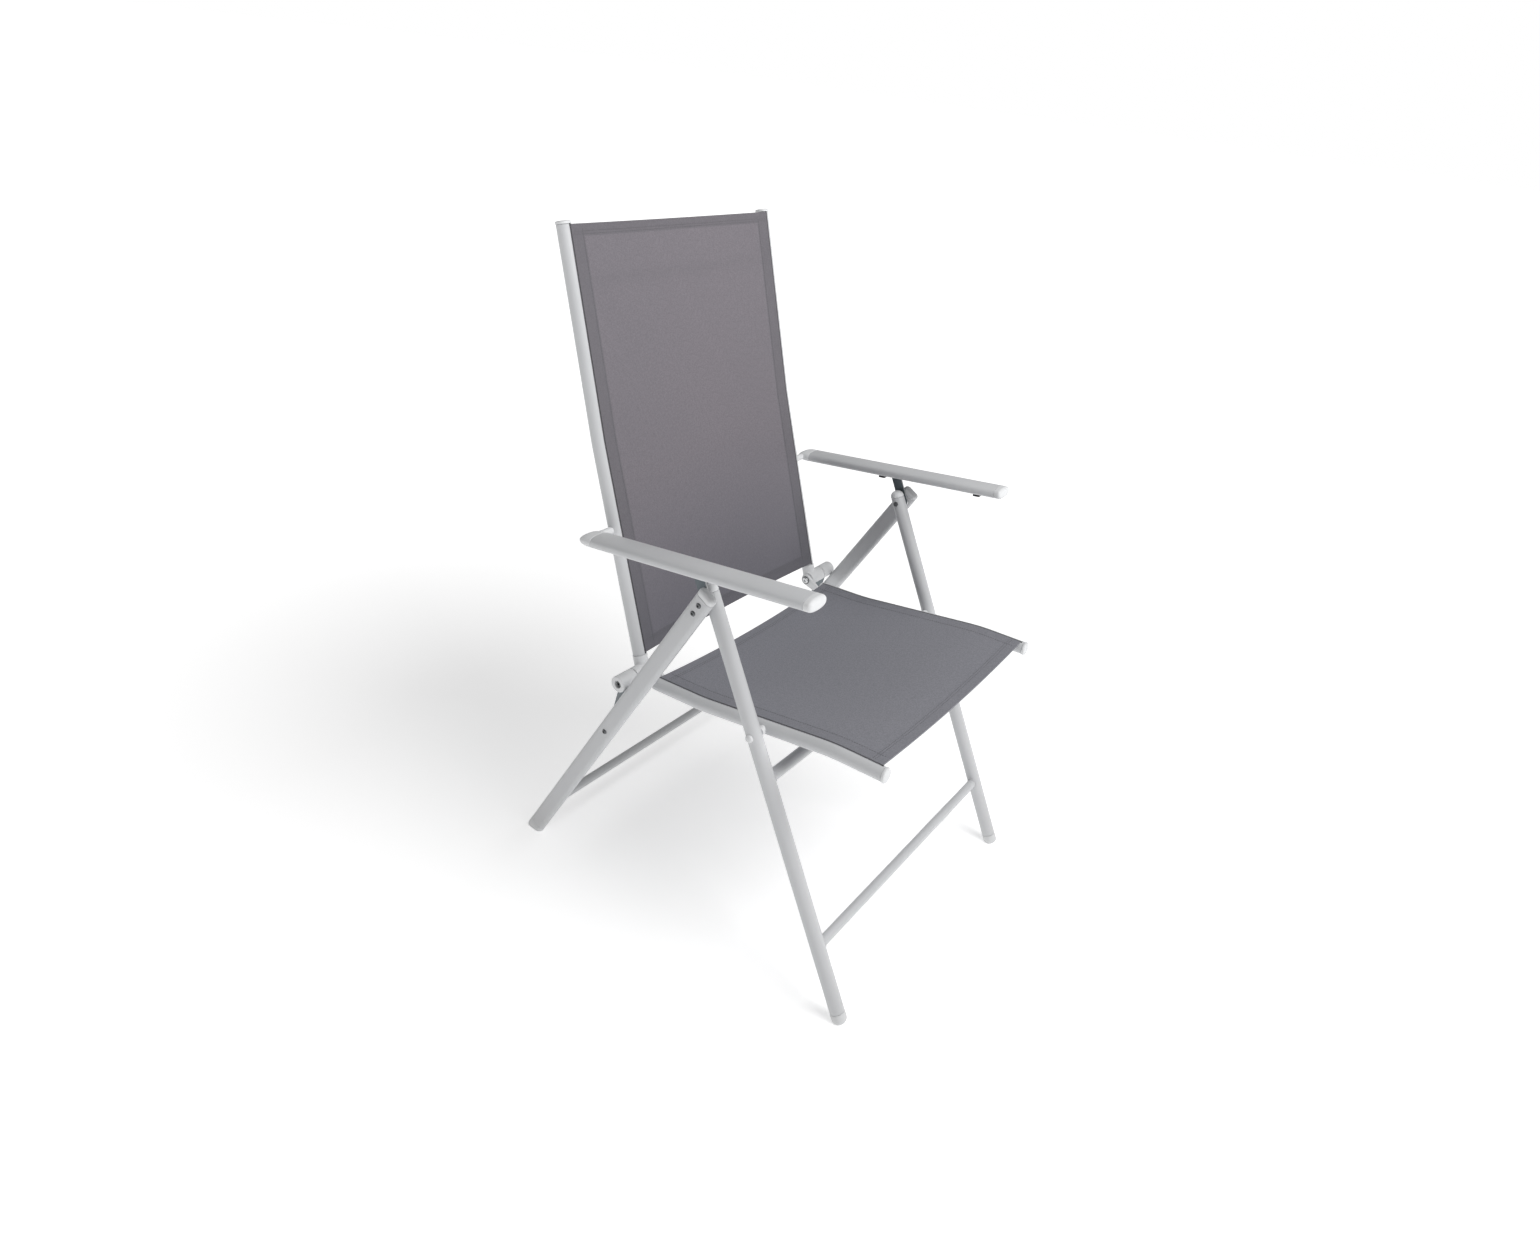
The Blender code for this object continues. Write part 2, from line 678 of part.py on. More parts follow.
def hinge_bumper():
    """The roller outboard of the hinge; it rests on the rear leg's edge when the chair is open."""
    bumper = pipe("hinge_bumper_left", BARREL_R, BOLT_R + GAP, BUMPER_IN, BUMPER_OUT,
                  across(HINGE, 0), "cap_plastic")
    slot = strap_points(HINGE, LINK_PIVOT, LINK_WIDTH / 2 + GAP)
    cutter = flat_plate("bumper_slot", [slot], LINK_IN - GAP, LINK_OUT + GAP)
    return cut(bumper, cutter)


def hinge_bumper_bolt():
    inner = BUMPER_IN + TIP_CLEAR
    face = BUMPER_OUT + GAP
    profile = [(0, face + HEAD_RIM / 2), (NUT_R, face + HEAD_RIM / 2), (NUT_R, face), (BOLT_R, face),
               (BOLT_R, inner), (0, inner)]
    return turned("hinge_bumper_bolt_left", profile, across(HINGE, 0), "steel", sides=SMALL_ROUND)


# ---------------------------------------------------------------- seat

def seat_corners():
    """Side path of the seat tube's axis, front to rear; it passes through the seat pivot."""
    front_bend = SEAT_PIVOT + SEAT_FRONT_BEND * Vector((-1, SEAT_SLOPE))
    rear_bend = SEAT_PIVOT + SEAT_REAR_BEND * Vector((1, -SEAT_SLOPE))
    front_run = SEAT_FRONT_END - SEAT_FRONT_BEND
    rear_run = HINGE.x - SEAT_EYE_REACH - rear_bend.x
    front = front_bend + front_run * Vector((-1, SEAT_FRONT_SLOPE))
    rear = rear_bend + rear_run * Vector((1, -SEAT_REAR_SLOPE))
    return [front, front_bend, rear_bend, rear]


def seat_path():
    return filleted(seat_corners(), SEAT_BEND_R)


def seat_tube():
    tube = bent_tube("seat_tube_left", in_side_plane(seat_path(), BODY_X), BODY_TUBE_R, TUBE_WALL,
                     "frame_paint")
    return cut(tube, bolt_hole("seat_tube_hole", SEAT_PIVOT, BODY_X - HOLE_REACH, BODY_X + HOLE_REACH))


def seat_tube_cap():
    front, bend = seat_corners()[:2]
    plug = BODY_TUBE_R - TUBE_WALL - PLUG_CLEAR
    profile = dome(BODY_TUBE_R, TUBE_CAP_DOME, GAP + CAP_RIM) + [
        (BODY_TUBE_R, GAP), (plug, GAP), (plug, -PLUG_DEPTH), (0, -PLUG_DEPTH)]
    return turned("seat_tube_cap_left", profile, along(front, (front - bend).normalized(), BODY_X),
                  "cap_plastic")


def seat_hinge_eye():
    """Rear end fitting: plug in the seat tube, and an eye plate inboard of the hinge barrel."""
    bend, rear = seat_corners()[2:]
    run = (rear - bend).normalized()
    plug = BODY_TUBE_R - TUBE_WALL - PLUG_CLEAR
    profile = [(0, EYE_NOSE), (BODY_TUBE_R - EYE_NOSE, EYE_NOSE), (BODY_TUBE_R, GAP), (plug, GAP),
               (plug, -PLUG_DEPTH), (0, -PLUG_DEPTH)]
    body = turned("seat_hinge_eye_left", profile, along(rear, run, BODY_X), "cap_plastic")
    outer = BARREL_INNER - GAP
    inner = outer - EYE_THICK
    plate = flat_plate("seat_eye_plate", [strap_points(rear, HINGE, EYE_HEEL_R, EYE_R)], inner, outer)
    half = EYE_HEEL_R - GAP
    bridge = box("seat_eye_bridge", (inner + TIP_CLEAR - BODY_X, -half, GAP),
                 (0.0, half, EYE_NOSE - TIP_CLEAR), along(rear, run, BODY_X))
    join(body, plate, bridge)
    return cut(body, bolt_hole("seat_eye_hole", HINGE, inner - HOLE_REACH, outer + HOLE_REACH))


def bowed_bar(name, place, towards, finish):
    """A cross tube between the body tubes, bowed away from the sling, its ends coped."""
    steps = 6
    path = []
    for i in range(steps + 1):
        across_x = BODY_X * (2 * i / steps - 1)
        bow = SPREADER_DROP + SPREADER_BOW * (1 - (across_x / BODY_X) ** 2)
        point = place + bow * towards
        path.append(Vector((across_x, point.x, point.y)))
    return bent_tube(name, path, SPREADER_R, TUBE_WALL, finish, sides=SMALL_ROUND)


def seat_spreader():
    front, bend = seat_corners()[:2]
    run = (bend - front).normalized()
    place = front + SPREADER_INSET * run
    down = Vector((run.y, -run.x))
    bar = bowed_bar("seat_spreader", place, down, "frame_paint")
    for side, name in ((1, "left"), (-1, "right")):
        cut(bar, rod(f"seat_spreader_cope_{name}", BODY_TUBE_R + GAP, -COPE_REACH, COPE_REACH,
                     along(place, run, side * BODY_X)))
    return bar


def offset_path(path, rise):
    """A side path moved sideways to its left as it runs, by rise."""
    moved = []
    for i, point in enumerate(path):
        before, after = path[max(i - 1, 0)], path[min(i + 1, len(path) - 1)]
        run = (after - before).normalized()
        moved.append(point + rise * Vector((-run.y, run.x)))
    return moved


def trimmed(path, start, end):
    """The stretch of a side path between two distances along it."""
    lengths = [0.0]
    for a, b in zip(path, path[1:]):
        lengths.append(lengths[-1] + (b - a).length)

    def at(distance):
        for i in range(len(path) - 1):
            if distance <= lengths[i + 1] or i == len(path) - 2:
                return path[i].lerp(path[i + 1], (distance - lengths[i]) / (lengths[i + 1] - lengths[i]))

    inner = [p for p, s in zip(path, lengths) if start + CLOTH_STEP < s < end - CLOTH_STEP]
    return [at(start), *inner, at(end)]


def path_length(path):
    return sum((b - a).length for a, b in zip(path, path[1:]))


def sling(name, path, rise, columns=8):
    """Cloth stretched between the body tubes: follows a side path and sags a little between them."""
    edge = BODY_X - math.sqrt(BODY_TUBE_R ** 2 - (SLING_RISE - SLING_THICK / 2) ** 2) - SLING_SIDE_GAP
    sign = math.copysign(1, rise)
    outer = offset_path(path, rise)
    inner = offset_path(path, rise - sign * SLING_SAG)
    shape = bmesh.new()
    bmesh.ops.create_grid(shape, x_segments=columns, y_segments=len(path) - 1, size=1.0)
    for vert in shape.verts:
        row = round((vert.co.y + 1) / 2 * (len(path) - 1))
        share = 1 - vert.co.x ** 2
        point = outer[row].lerp(inner[row], share)
        vert.co = (vert.co.x * edge, point.x, point.y)
    mesh = bpy.data.meshes.new(name)
    shape.to_mesh(mesh)
    shape.free()
    obj = add_object(name, mesh, Matrix.Identity(4), "sling_fabric")
    solidify = obj.modifiers.new("cloth", "SOLIDIFY")
    solidify.thickness = SLING_THICK
    solidify.offset = 0
    solidify.use_even_offset = True
    return obj


def seat_sling():
    path = seat_path()
    length = path_length(path)
    return sling("seat_sling", trimmed(path, SEAT_SLING_INSET, length - SEAT_SLING_REAR), SLING_RISE)


# ---------------------------------------------------------------- hinge bolt and back

def hinge_bolt():
    """Bolt through the seat's eye; the back reclines on its steel sleeve, inside the barrel."""
    end = BARREL_OUT - TIP_CLEAR
    shoulder = BARREL_INNER
    inner = BARREL_INNER - GAP - EYE_THICK - GAP
    profile = [(0, end), (SLEEVE_R, end), (SLEEVE_R, shoulder), (BOLT_R, shoulder), (BOLT_R, inner),
               (HEAD_R, inner), (HEAD_R, inner - FLAT_HEAD), (0, inner - FLAT_HEAD)]
    return turned("hinge_bolt_left", profile, across(HINGE, 0), "steel", sides=SMALL_ROUND)


def back_corners():
    bend = BACK_ROOT + BACK_BEND * BACK_UP
    top = bend + (BACK_LENGTH - BACK_BEND) * BACK_UPPER
    return [BACK_ROOT + BACK_COLLAR * BACK_UP, bend, top]


def back_path():
    return filleted(back_corners(), BACK_BEND_R)


def back_tube():
    tube = bent_tube("back_tube_left", in_side_plane(back_path(), BODY_X), BODY_TUBE_R, TUBE_WALL,
                     "frame_paint")
    return cut(tube, bolt_hole("back_tube_hole", ARM_PIVOT, BODY_X - HOLE_REACH, BODY_X + HOLE_REACH))


def back_tube_cap():
    bend, top = back_corners()[1:]
    plug = BODY_TUBE_R - TUBE_WALL - PLUG_CLEAR
    profile = dome(BODY_TUBE_R, TUBE_CAP_DOME, GAP + CAP_RIM) + [
        (BODY_TUBE_R, GAP), (plug, GAP), (plug, -PLUG_DEPTH), (0, -PLUG_DEPTH)]
    return turned("back_tube_cap_left", profile, along(top, (top - bend).normalized(), BODY_X),
                  "cap_plastic")


def back_hinge_fitting():
    """T fitting: a cross barrel on the hinge bolt, and a column with a spigot in the back tube."""
    rim = BARREL_R - BARREL_EDGE
    barrel = turned("back_hinge_fitting_left",
                    [(0, BARREL_OUT), (rim, BARREL_OUT), (BARREL_R, BARREL_OUT - BARREL_EDGE),
                     (BARREL_R, BARREL_INNER + BARREL_EDGE), (rim, BARREL_INNER), (0, BARREL_INNER)],
                    across(HINGE, 0), "cap_plastic")
    spigot = BODY_TUBE_R - TUBE_WALL - PLUG_CLEAR
    top = BACK_COLLAR - GAP
    column = turned("back_hinge_column",
                    [(0, top + PLUG_DEPTH), (spigot, top + PLUG_DEPTH), (spigot, top),
                     (BODY_TUBE_R + GAP, top), (BODY_TUBE_R + GAP, BACK_SETBACK), (0, BACK_SETBACK)],
                    along(BACK_ROOT, BACK_UP, BODY_X))
    join(barrel, column)
    return cut(barrel, rod("barrel_bore", SLEEVE_R + GAP, BARREL_INNER - HOLE_REACH,
                           BARREL_OUT + HOLE_REACH, across(HINGE, 0)))


def back_bar(name, place, run):
    bar = bowed_bar(name, place, Vector((run.y, -run.x)), "frame_paint")
    for side, label in ((1, "left"), (-1, "right")):
        cut(bar, rod(f"{name}_cope_{label}", BODY_TUBE_R + GAP, -COPE_REACH, COPE_REACH,
                     along(place, run, side * BODY_X)))
    return bar


def back_top_bar():
    top = back_corners()[2]
    return back_bar("back_crossbar_top", top - BACK_TOP_BAR * BACK_UPPER, BACK_UPPER)


def back_low_bar():
    return back_bar("back_crossbar_bottom", BACK_ROOT + BACK_LOW_BAR * BACK_UP, BACK_UP)


def back_sling():
    path = back_path()
    length = path_length(path)
    start = BACK_SLING_START - BACK_COLLAR
    return sling("back_sling", trimmed(path, start, length - BACK_SLING_INSET), SLING_RISE)


# ---------------------------------------------------------------- armrests

def armrest_pivot_bolt():
    """Shoulder bolt through the back tube into the armrest's rear cap."""
    head = BODY_IN - GAP
    shoulder = BODY_OUT + GAP
    tip = ARM_X - TIP_CLEAR
    profile = [(0, tip), (BOLT_R, tip), (BOLT_R, ARM_IN - GAP),
               (ARM_SHOULDER_R, ARM_IN - GAP), (ARM_SHOULDER_R, shoulder), (BOLT_R, shoulder), (BOLT_R, head),
               (HEAD_R, head), (HEAD_R, head - FLAT_HEAD), (0, head - FLAT_HEAD - HEAD_RIM)]
    return turned("armrest_pivot_bolt_left", profile, across(ARM_PIVOT, 0), "steel", sides=SMALL_ROUND)


def arm_frame():
    """At the armrest's pivot: local Z runs forward along the arm, local Y is up."""
    return along(ARM_PIVOT, ARM_FORWARD, ARM_X)


def arm_section(shrink):
    return oval(ARM_WIDTH - 2 * shrink, ARM_HEIGHT - 2 * shrink, ARM_POWER)


def armrest():
    low, high = ARM_REAR_TUBE, ARM_LENGTH - ARM_FRONT_CAP
    outer, inner = arm_section(0), arm_section(ARM_WALL)
    arm = lofted("armrest_left", [(outer, low), (outer, high), (inner, high), (inner, low)], arm_frame(),
                 "frame_paint", hollow=True)
    half = RACK_INNER / 2 + RACK_WALL + GAP
    slot = box("armrest_slot", (PLATE_X - ARM_X - half, -ARM_HEIGHT, RACK_START - GAP),
               (PLATE_X - ARM_X + half, -ARM_WALL, RACK_END + GAP), arm_frame())
    return cut(arm, slot)


def arm_cap_rings(length):
    """Rings of a rounded armrest cap whose face meets the arm tube at local z = 0."""
    plug = arm_section(ARM_WALL + PLUG_CLEAR)
    rings = [(plug, -ARM_PLUG), (plug, 0.0), (arm_section(0), 0.0)]
    steps = 5
    for i in range(steps + 1):
        angle = math.pi / 2 * i / steps
        shrink = (1 - math.cos(angle)) * ARM_HEIGHT * ARM_CAP_ROUND
        rings.append((arm_section(shrink), length * (ARM_CAP_WALL + (1 - ARM_CAP_WALL) * math.sin(angle))))
    return rings


def armrest_front_cap():
    frame = along(ARM_PIVOT + (ARM_LENGTH - ARM_FRONT_CAP + GAP) * ARM_FORWARD, ARM_FORWARD, ARM_X)
    return lofted("armrest_front_cap_left", arm_cap_rings(ARM_FRONT_DOME), frame, "cap_plastic")


def armrest_rear_cap():
    """The rear cap holds the pivot bolt in a blind bore from its inner side."""
    frame = along(ARM_PIVOT + (ARM_REAR_TUBE - GAP) * ARM_FORWARD, -ARM_FORWARD, ARM_X)
    cap = lofted("armrest_rear_cap_left", arm_cap_rings(ARM_REAR_TUBE + ARM_REAR_CAP), frame,
                 "cap_plastic")
    return cut(cap, bolt_hole("armrest_cap_bore", ARM_PIVOT, ARM_IN - HOLE_REACH, ARM_X))


def armrest_rack():
    """Black channel in the armrest's slot, notched in its roof for the bracket's pin."""
    half = RACK_INNER / 2 + RACK_WALL
    middle = PLATE_X - ARM_X
    rack = box("armrest_rack_left", (middle - half, -ARM_HEIGHT / 2 - RACK_LIP, RACK_START),
               (middle + half, RACK_ROOF + RACK_WALL, RACK_END), arm_frame())
    CUTTERS.objects.unlink(rack)
    CHAIR.objects.link(rack)
    rack.hide_render = False
    rack.display_type = "TEXTURED"
    rack.data.materials.append(material("rack_plastic"))
    room = box("rack_channel", (middle - RACK_INNER / 2, -ARM_HEIGHT, RACK_START + RACK_WALL * 2),
               (middle + RACK_INNER / 2, RACK_ROOF, RACK_END - RACK_WALL * 2), arm_frame())
    cut(rack, room)
    arm_up = Vector((ARM_FORWARD.y, -ARM_FORWARD.x))
    for number in range(NOTCH_COUNT):
        place = ARM_PIVOT + (FIRST_NOTCH + number * NOTCH_PITCH) * ARM_FORWARD + (RACK_ROOF - NOTCH_SUNK) * arm_up
        cut(rack, rod(f"rack_notch_{number}", NOTCH_R, PLATE_X - RACK_INNER / 2, PLATE_X + RACK_INNER / 2,
                      across(place, 0), sides=12))
    return rack


# ---------------------------------------------------------------- assembly

def axis_empty(name, point, parent=None):
    """An empty on a joint's axis; what turns about that joint hangs on it."""
    empty = bpy.data.objects.new(name, None)
    CHAIR.objects.link(empty)
    empty.location = (0.0, point.x, point.y)
    bpy.context.view_layer.update()
    if parent:
        hang([empty], parent)
    return empty


def hang(objects, parent):
    for obj in objects:
        frame = obj.matrix_world.copy()
        obj.parent = parent
        obj.matrix_parent_inverse = parent.matrix_world.inverted()
        obj.matrix_world = frame


def build(pairs, singles, parent):
    made = [obj for piece in pairs for obj in pair(piece)]
    made += [single(piece) for piece in singles]
    bpy.context.view_layer.update()
    hang(made, parent)


def main():
    root = axis_empty("front_frame", PIVOT)
    build([front_leg, front_foot, front_leg_cap, armrest_bracket, leg_pivot_bolt, seat_pivot_bolt],
          [lambda: front_bar("front_crossbar_upper", UPPER_BAR_U, UPPER_BAR_R),
           lambda: front_bar("front_crossbar_lower", LOWER_BAR_U, LOWER_BAR_R)], root)
    rear = axis_empty("leg_fold_axis", PIVOT, root)
    build([rear_leg, rear_foot, rear_leg_cap, link_pivot_bolt], [rear_bar], rear)
    links = axis_empty("link_axis", LINK_PIVOT, rear)
    build([link_plate, hinge_bumper, hinge_bumper_bolt], [], links)
    seat = axis_empty("seat_axis", SEAT_PIVOT, root)
    build([seat_pivot_spacer, seat_tube, seat_tube_cap, seat_hinge_eye], [seat_spreader, seat_sling], seat)
    bolts = axis_empty("back_fold_axis", HINGE, seat)
    build([hinge_bolt], [], bolts)
    back = axis_empty("recline_axis", HINGE, bolts)
    build([back_tube, back_tube_cap, back_hinge_fitting], [back_top_bar, back_low_bar, back_sling], back)
    arm_bolts = axis_empty("armrest_follow_axis", ARM_PIVOT, back)
    build([armrest_pivot_bolt], [], arm_bolts)
    arms = axis_empty("armrest_lift_axis", ARM_PIVOT, arm_bolts)
    build([armrest, armrest_front_cap, armrest_rear_cap, armrest_rack], [], arms)


main()
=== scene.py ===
import json
import math
from functools import partial

import bmesh
import bpy
from mathutils import Matrix, Vector


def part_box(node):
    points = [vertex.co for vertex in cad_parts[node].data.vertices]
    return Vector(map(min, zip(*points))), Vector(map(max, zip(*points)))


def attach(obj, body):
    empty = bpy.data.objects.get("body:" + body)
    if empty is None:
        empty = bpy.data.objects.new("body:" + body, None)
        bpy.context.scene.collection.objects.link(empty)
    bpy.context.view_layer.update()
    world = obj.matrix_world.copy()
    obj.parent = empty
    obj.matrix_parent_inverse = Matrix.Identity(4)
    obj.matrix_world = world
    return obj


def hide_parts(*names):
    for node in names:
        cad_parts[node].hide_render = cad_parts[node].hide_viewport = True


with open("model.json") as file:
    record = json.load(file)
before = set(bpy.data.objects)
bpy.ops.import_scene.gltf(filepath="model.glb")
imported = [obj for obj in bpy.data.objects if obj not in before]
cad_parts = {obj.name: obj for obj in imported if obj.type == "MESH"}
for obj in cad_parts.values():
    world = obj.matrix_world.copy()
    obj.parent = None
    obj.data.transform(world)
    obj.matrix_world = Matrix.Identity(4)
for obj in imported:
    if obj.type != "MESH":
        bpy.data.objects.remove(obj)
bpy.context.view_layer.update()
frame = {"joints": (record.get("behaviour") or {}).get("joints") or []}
print("frame loaded")

scene = bpy.context.scene
across, rearward = Vector((1, 0, 0)), Vector((0, 1, 0))
flip = Matrix.Diagonal((-1, 1, 1, 1))

# the joints and tubes of the CAD model say where everything goes
jointAt = {joint["name"]: Vector(joint["pos_m"]) for joint in frame["joints"]}
legPivot = jointAt["leg_fold"]
seatPivot = jointAt["seat_pivot"]
linkPivot = jointAt["link_pivot"]
hinge = jointAt["recline"]
armPivot = jointAt["armrest_follow"]
frontDown = (seatPivot - legPivot).normalized()
rearDown = (linkPivot - legPivot).normalized()


def acrossNode(node):
    # the middle and the width of a CAD node, measured across the chair
    low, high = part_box(node)
    return ((low + high) / 2).x, high.x - low.x


frontLegX, frontLegWidth = acrossNode("front_leg_left")
rearLegX, rearLegThick = acrossNode("rear_leg_left")
bodyX, bodyWidth = acrossNode("back_tube_left")
armX, armWidth = acrossNode("armrest_left")
plateX, plateThick = acrossNode("link_plate_left")
frontLegR, bodyR = frontLegWidth / 2, bodyWidth / 2
gap = 0.0003  # room between neighbouring pieces


def feed(tree, sockets, values):
    # a value is a socket to link from, or a plain value to set
    for key, value in values.items():
        if isinstance(value, bpy.types.NodeSocket):
            tree.links.new(value, sockets[key])
        else:
            sockets[key].default_value = value


def addNode(tree, kind, values=None, **settings):
    node = tree.nodes.new(kind)
    for key, value in settings.items():
        setattr(node, key, value)
    feed(tree, node.inputs, values or {})
    return node


def maths(tree, operation, *values):
    return addNode(tree, "ShaderNodeMath", dict(enumerate(values)), operation=operation).outputs[0]


def noise(tree, place, scale, detail=2.0, distortion=0.0):
    return addNode(tree, "ShaderNodeTexNoise", {"Vector": place, "Scale": scale, "Detail": detail,
                                                "Distortion": distortion}).outputs[0]


def mixColours(tree, share, *ends):
    first, second = [end if isinstance(end, bpy.types.NodeSocket) else (*end, 1.0) for end in ends]
    return addNode(tree, "ShaderNodeMix", {"Factor": share, 6: first, 7: second}, data_type="RGBA").outputs[2]


def shaderGroup(name, inputs, outputs):
    tree = bpy.data.node_groups.new(name, "ShaderNodeTree")
    for label, value in inputs.items():
        kind = "NodeSocketVector" if value is None else "NodeSocketFloat"
        socket = tree.interface.new_socket(name=label, in_out="INPUT", socket_type=kind)
        if value is not None:
            socket.default_value = value
    for label in outputs:
        tree.interface.new_socket(name=label, in_out="OUTPUT", socket_type="NodeSocketFloat")
    return tree, tree.nodes.new("NodeGroupInput").outputs, tree.nodes.new("NodeGroupOutput").inputs


def makeGrain():
    # the fine unevenness of a sprayed or moulded skin, and a slow drift of its tone
    tree, given, made = shaderGroup(
        "surfaceGrain", {"Vector": None, "Grain Scale": 900.0, "Drift Scale": 9.0}, ("Height", "Drift"))
    feed(tree, made, {"Height": noise(tree, given["Vector"], given["Grain Scale"]),
                      "Drift": noise(tree, given["Vector"], given["Drift Scale"], detail=4.0)})
    return tree


def makeDust():
    # dust that settles on upper faces in patches, and splashes near the floor
    tree, given, made = shaderGroup(
        "settledDust", {"Vector": None, "Normal": None, "Amount": 0.3, "Splash Height": 0.12}, ("Mask",))
    calc = partial(maths, tree)
    facing, height = [addNode(tree, "ShaderNodeSeparateXYZ", {0: given[label]}).outputs["Z"]
                      for label in ("Normal", "Vector")]
    splash = calc("MAXIMUM", calc("SUBTRACT", 1.0, calc("DIVIDE", height, given["Splash Height"])), 0.0)
    both = calc("MULTIPLY_ADD", calc("MAXIMUM", facing, 0.0), 0.4, splash)
    patches = noise(tree, given["Vector"], 38.0, detail=6.0)
    mask = calc("MULTIPLY", calc("MULTIPLY", both, patches), given["Amount"])
    feed(tree, made, {"Mask": calc("MINIMUM", mask, 1.0)})
    return tree


def makeScuffs():
    # short pale marks where the coat was rubbed
    tree, given, made = shaderGroup("rubMarks", {"Vector": None, "Mark Scale": 160.0, "Amount": 0.5},
                                    ("Mask",))
    calc = partial(maths, tree)
    marks = noise(tree, given["Vector"], given["Mark Scale"], detail=5.0, distortion=1.5)
    places = noise(tree, given["Vector"], 22.0)
    sharp = [calc("MULTIPLY", calc("SUBTRACT", value, start), gain)
             for value, start, gain in ((marks, 0.66, 14.0), (places, 0.5, 4.0))]
    clamped = [addNode(tree, "ShaderNodeClamp", {0: value}).outputs[0] for value in sharp]
    feed(tree, made, {"Mask": calc("MULTIPLY", calc("MULTIPLY", *clamped), given["Amount"])})
    return tree


def makeWeave():
    # plain weave of round yarns; Vector runs across and along the cloth, in metres
    tree, given, made = shaderGroup("openWeave", {"Vector": None, "Pitch": 0.0014},
                                    ("Height", "Warp On Top", "Hole", "Yarn Tone"))
    calc = partial(maths, tree)
    cells = addNode(tree, "ShaderNodeVectorMath",
                    {0: given["Vector"], "Scale": calc("DIVIDE", 1.0, given["Pitch"])}, operation="SCALE")
    parts = addNode(tree, "ShaderNodeSeparateXYZ", {0: cells.outputs[0]}).outputs
    steps = [calc("FLOOR", parts[axis]) for axis in "XY"]
    sides = [calc("SUBTRACT", calc("FRACT", parts[axis]), 0.5) for axis in "XY"]
    rounds = [calc("COSINE", calc("MULTIPLY", side, math.pi)) for side in sides]
    odd = calc("PINGPONG", calc("ADD", *steps), 1.0)
    even = calc("SUBTRACT", 1.0, odd)
    warp, weft = [calc("MULTIPLY", own, calc("MULTIPLY_ADD", calc("MULTIPLY", turn, other), 0.7, 0.3))
                  for own, other, turn in ((*rounds, odd), (*rounds[::-1], even))]
    hole = addNode(tree, "ShaderNodeMapRange",
                   {"Value": calc("MAXIMUM", *rounds), 1: 0.25, 2: 0.5, 3: 1.0, 4: 0.0}).outputs[0]
    yarn = addNode(tree, "ShaderNodeTexWhiteNoise", {"W": calc("MULTIPLY_ADD", steps[0], 1.7, steps[1])},
                   noise_dimensions="1D")
    feed(tree, made, {"Height": calc("MAXIMUM", warp, weft),
                      "Warp On Top": calc("GREATER_THAN", warp, weft),
                      "Hole": calc("MULTIPLY", hole, calc("SUBTRACT", 1.0, calc("MULTIPLY", *rounds))),
                      "Yarn Tone": yarn.outputs["Value"]})
    return tree


grain, dust, scuffs, weave = makeGrain(), makeDust(), makeScuffs(), makeWeave()
dustColour = (0.42, 0.40, 0.37)


def newMaterial(name, **constants):
    made = bpy.data.materials.new(name)
    made.use_nodes = True
    tree = made.node_tree
    shader = tree.nodes["Principled BSDF"]
    feed(tree, shader.inputs, {key.replace("_", " "): value for key, value in constants.items()})
    return tree, shader, addNode(tree, "ShaderNodeTexCoord").outputs["Object"]


def placeGroup(tree, group, values):
    return addNode(tree, "ShaderNodeGroup", values, node_tree=group).outputs


def shadeWith(name, tree, shader, colour, rough, height, bump, depth):
    normal = addNode(tree, "ShaderNodeBump", {"Strength": bump, "Distance": depth, "Height": height})
    feed(tree, shader.inputs, {"Base Color": colour, "Roughness": rough, "Normal": normal.outputs[0]})
    return bpy.data.materials[name]


def skinMaterial(name, look):
    # a painted or moulded skin, with drifting tone, rubbed marks and a little dust
    tree, shader, at = newMaterial(name, Metallic=look.get("metallic", 0.0))
    normal = addNode(tree, "ShaderNodeNewGeometry").outputs["Normal"]
    skin = placeGroup(tree, grain, {"Vector": at, "Grain Scale": look["grain"], "Drift Scale": look["drift"]})
    rub = placeGroup(tree, scuffs, {"Vector": at, "Amount": look["rubbed"]})["Mask"]
    dirt = placeGroup(tree, dust, {"Vector": at, "Normal": normal, "Amount": look["dust"]})["Mask"]
    colour = mixColours(tree, skin["Drift"], look["dark"], look["light"])
    for mask, over in ((rub, look["under"]), (dirt, dustColour)):
        colour = mixColours(tree, mask, colour, over)
    spread = look["roughSpread"]
    rough = maths(tree, "MULTIPLY_ADD", skin["Drift"], spread, look["rough"] - spread / 2)
    rough = maths(tree, "MULTIPLY_ADD", dirt, 0.3, rough)
    return shadeWith(name, tree, shader, colour, rough, skin["Height"], look["bump"], look["depth"])


def steelMaterial(name, look):
    # turned or rolled steel, its fine lines running round the part
    tree, shader, at = newMaterial(name, Metallic=1.0)
    stretched = addNode(tree, "ShaderNodeMapping", {"Vector": at, "Scale": look["lines"]}).outputs[0]
    lines = placeGroup(tree, grain, {"Vector": stretched, "Grain Scale": 420.0, "Drift Scale": 30.0})
    rough = maths(tree, "MULTIPLY_ADD", lines["Height"], 0.25, look["rough"])
    return shadeWith(name, tree, shader, mixColours(tree, lines["Drift"], look["dark"], look["light"]), rough,
                     lines["Height"], 0.15, 0.0001)


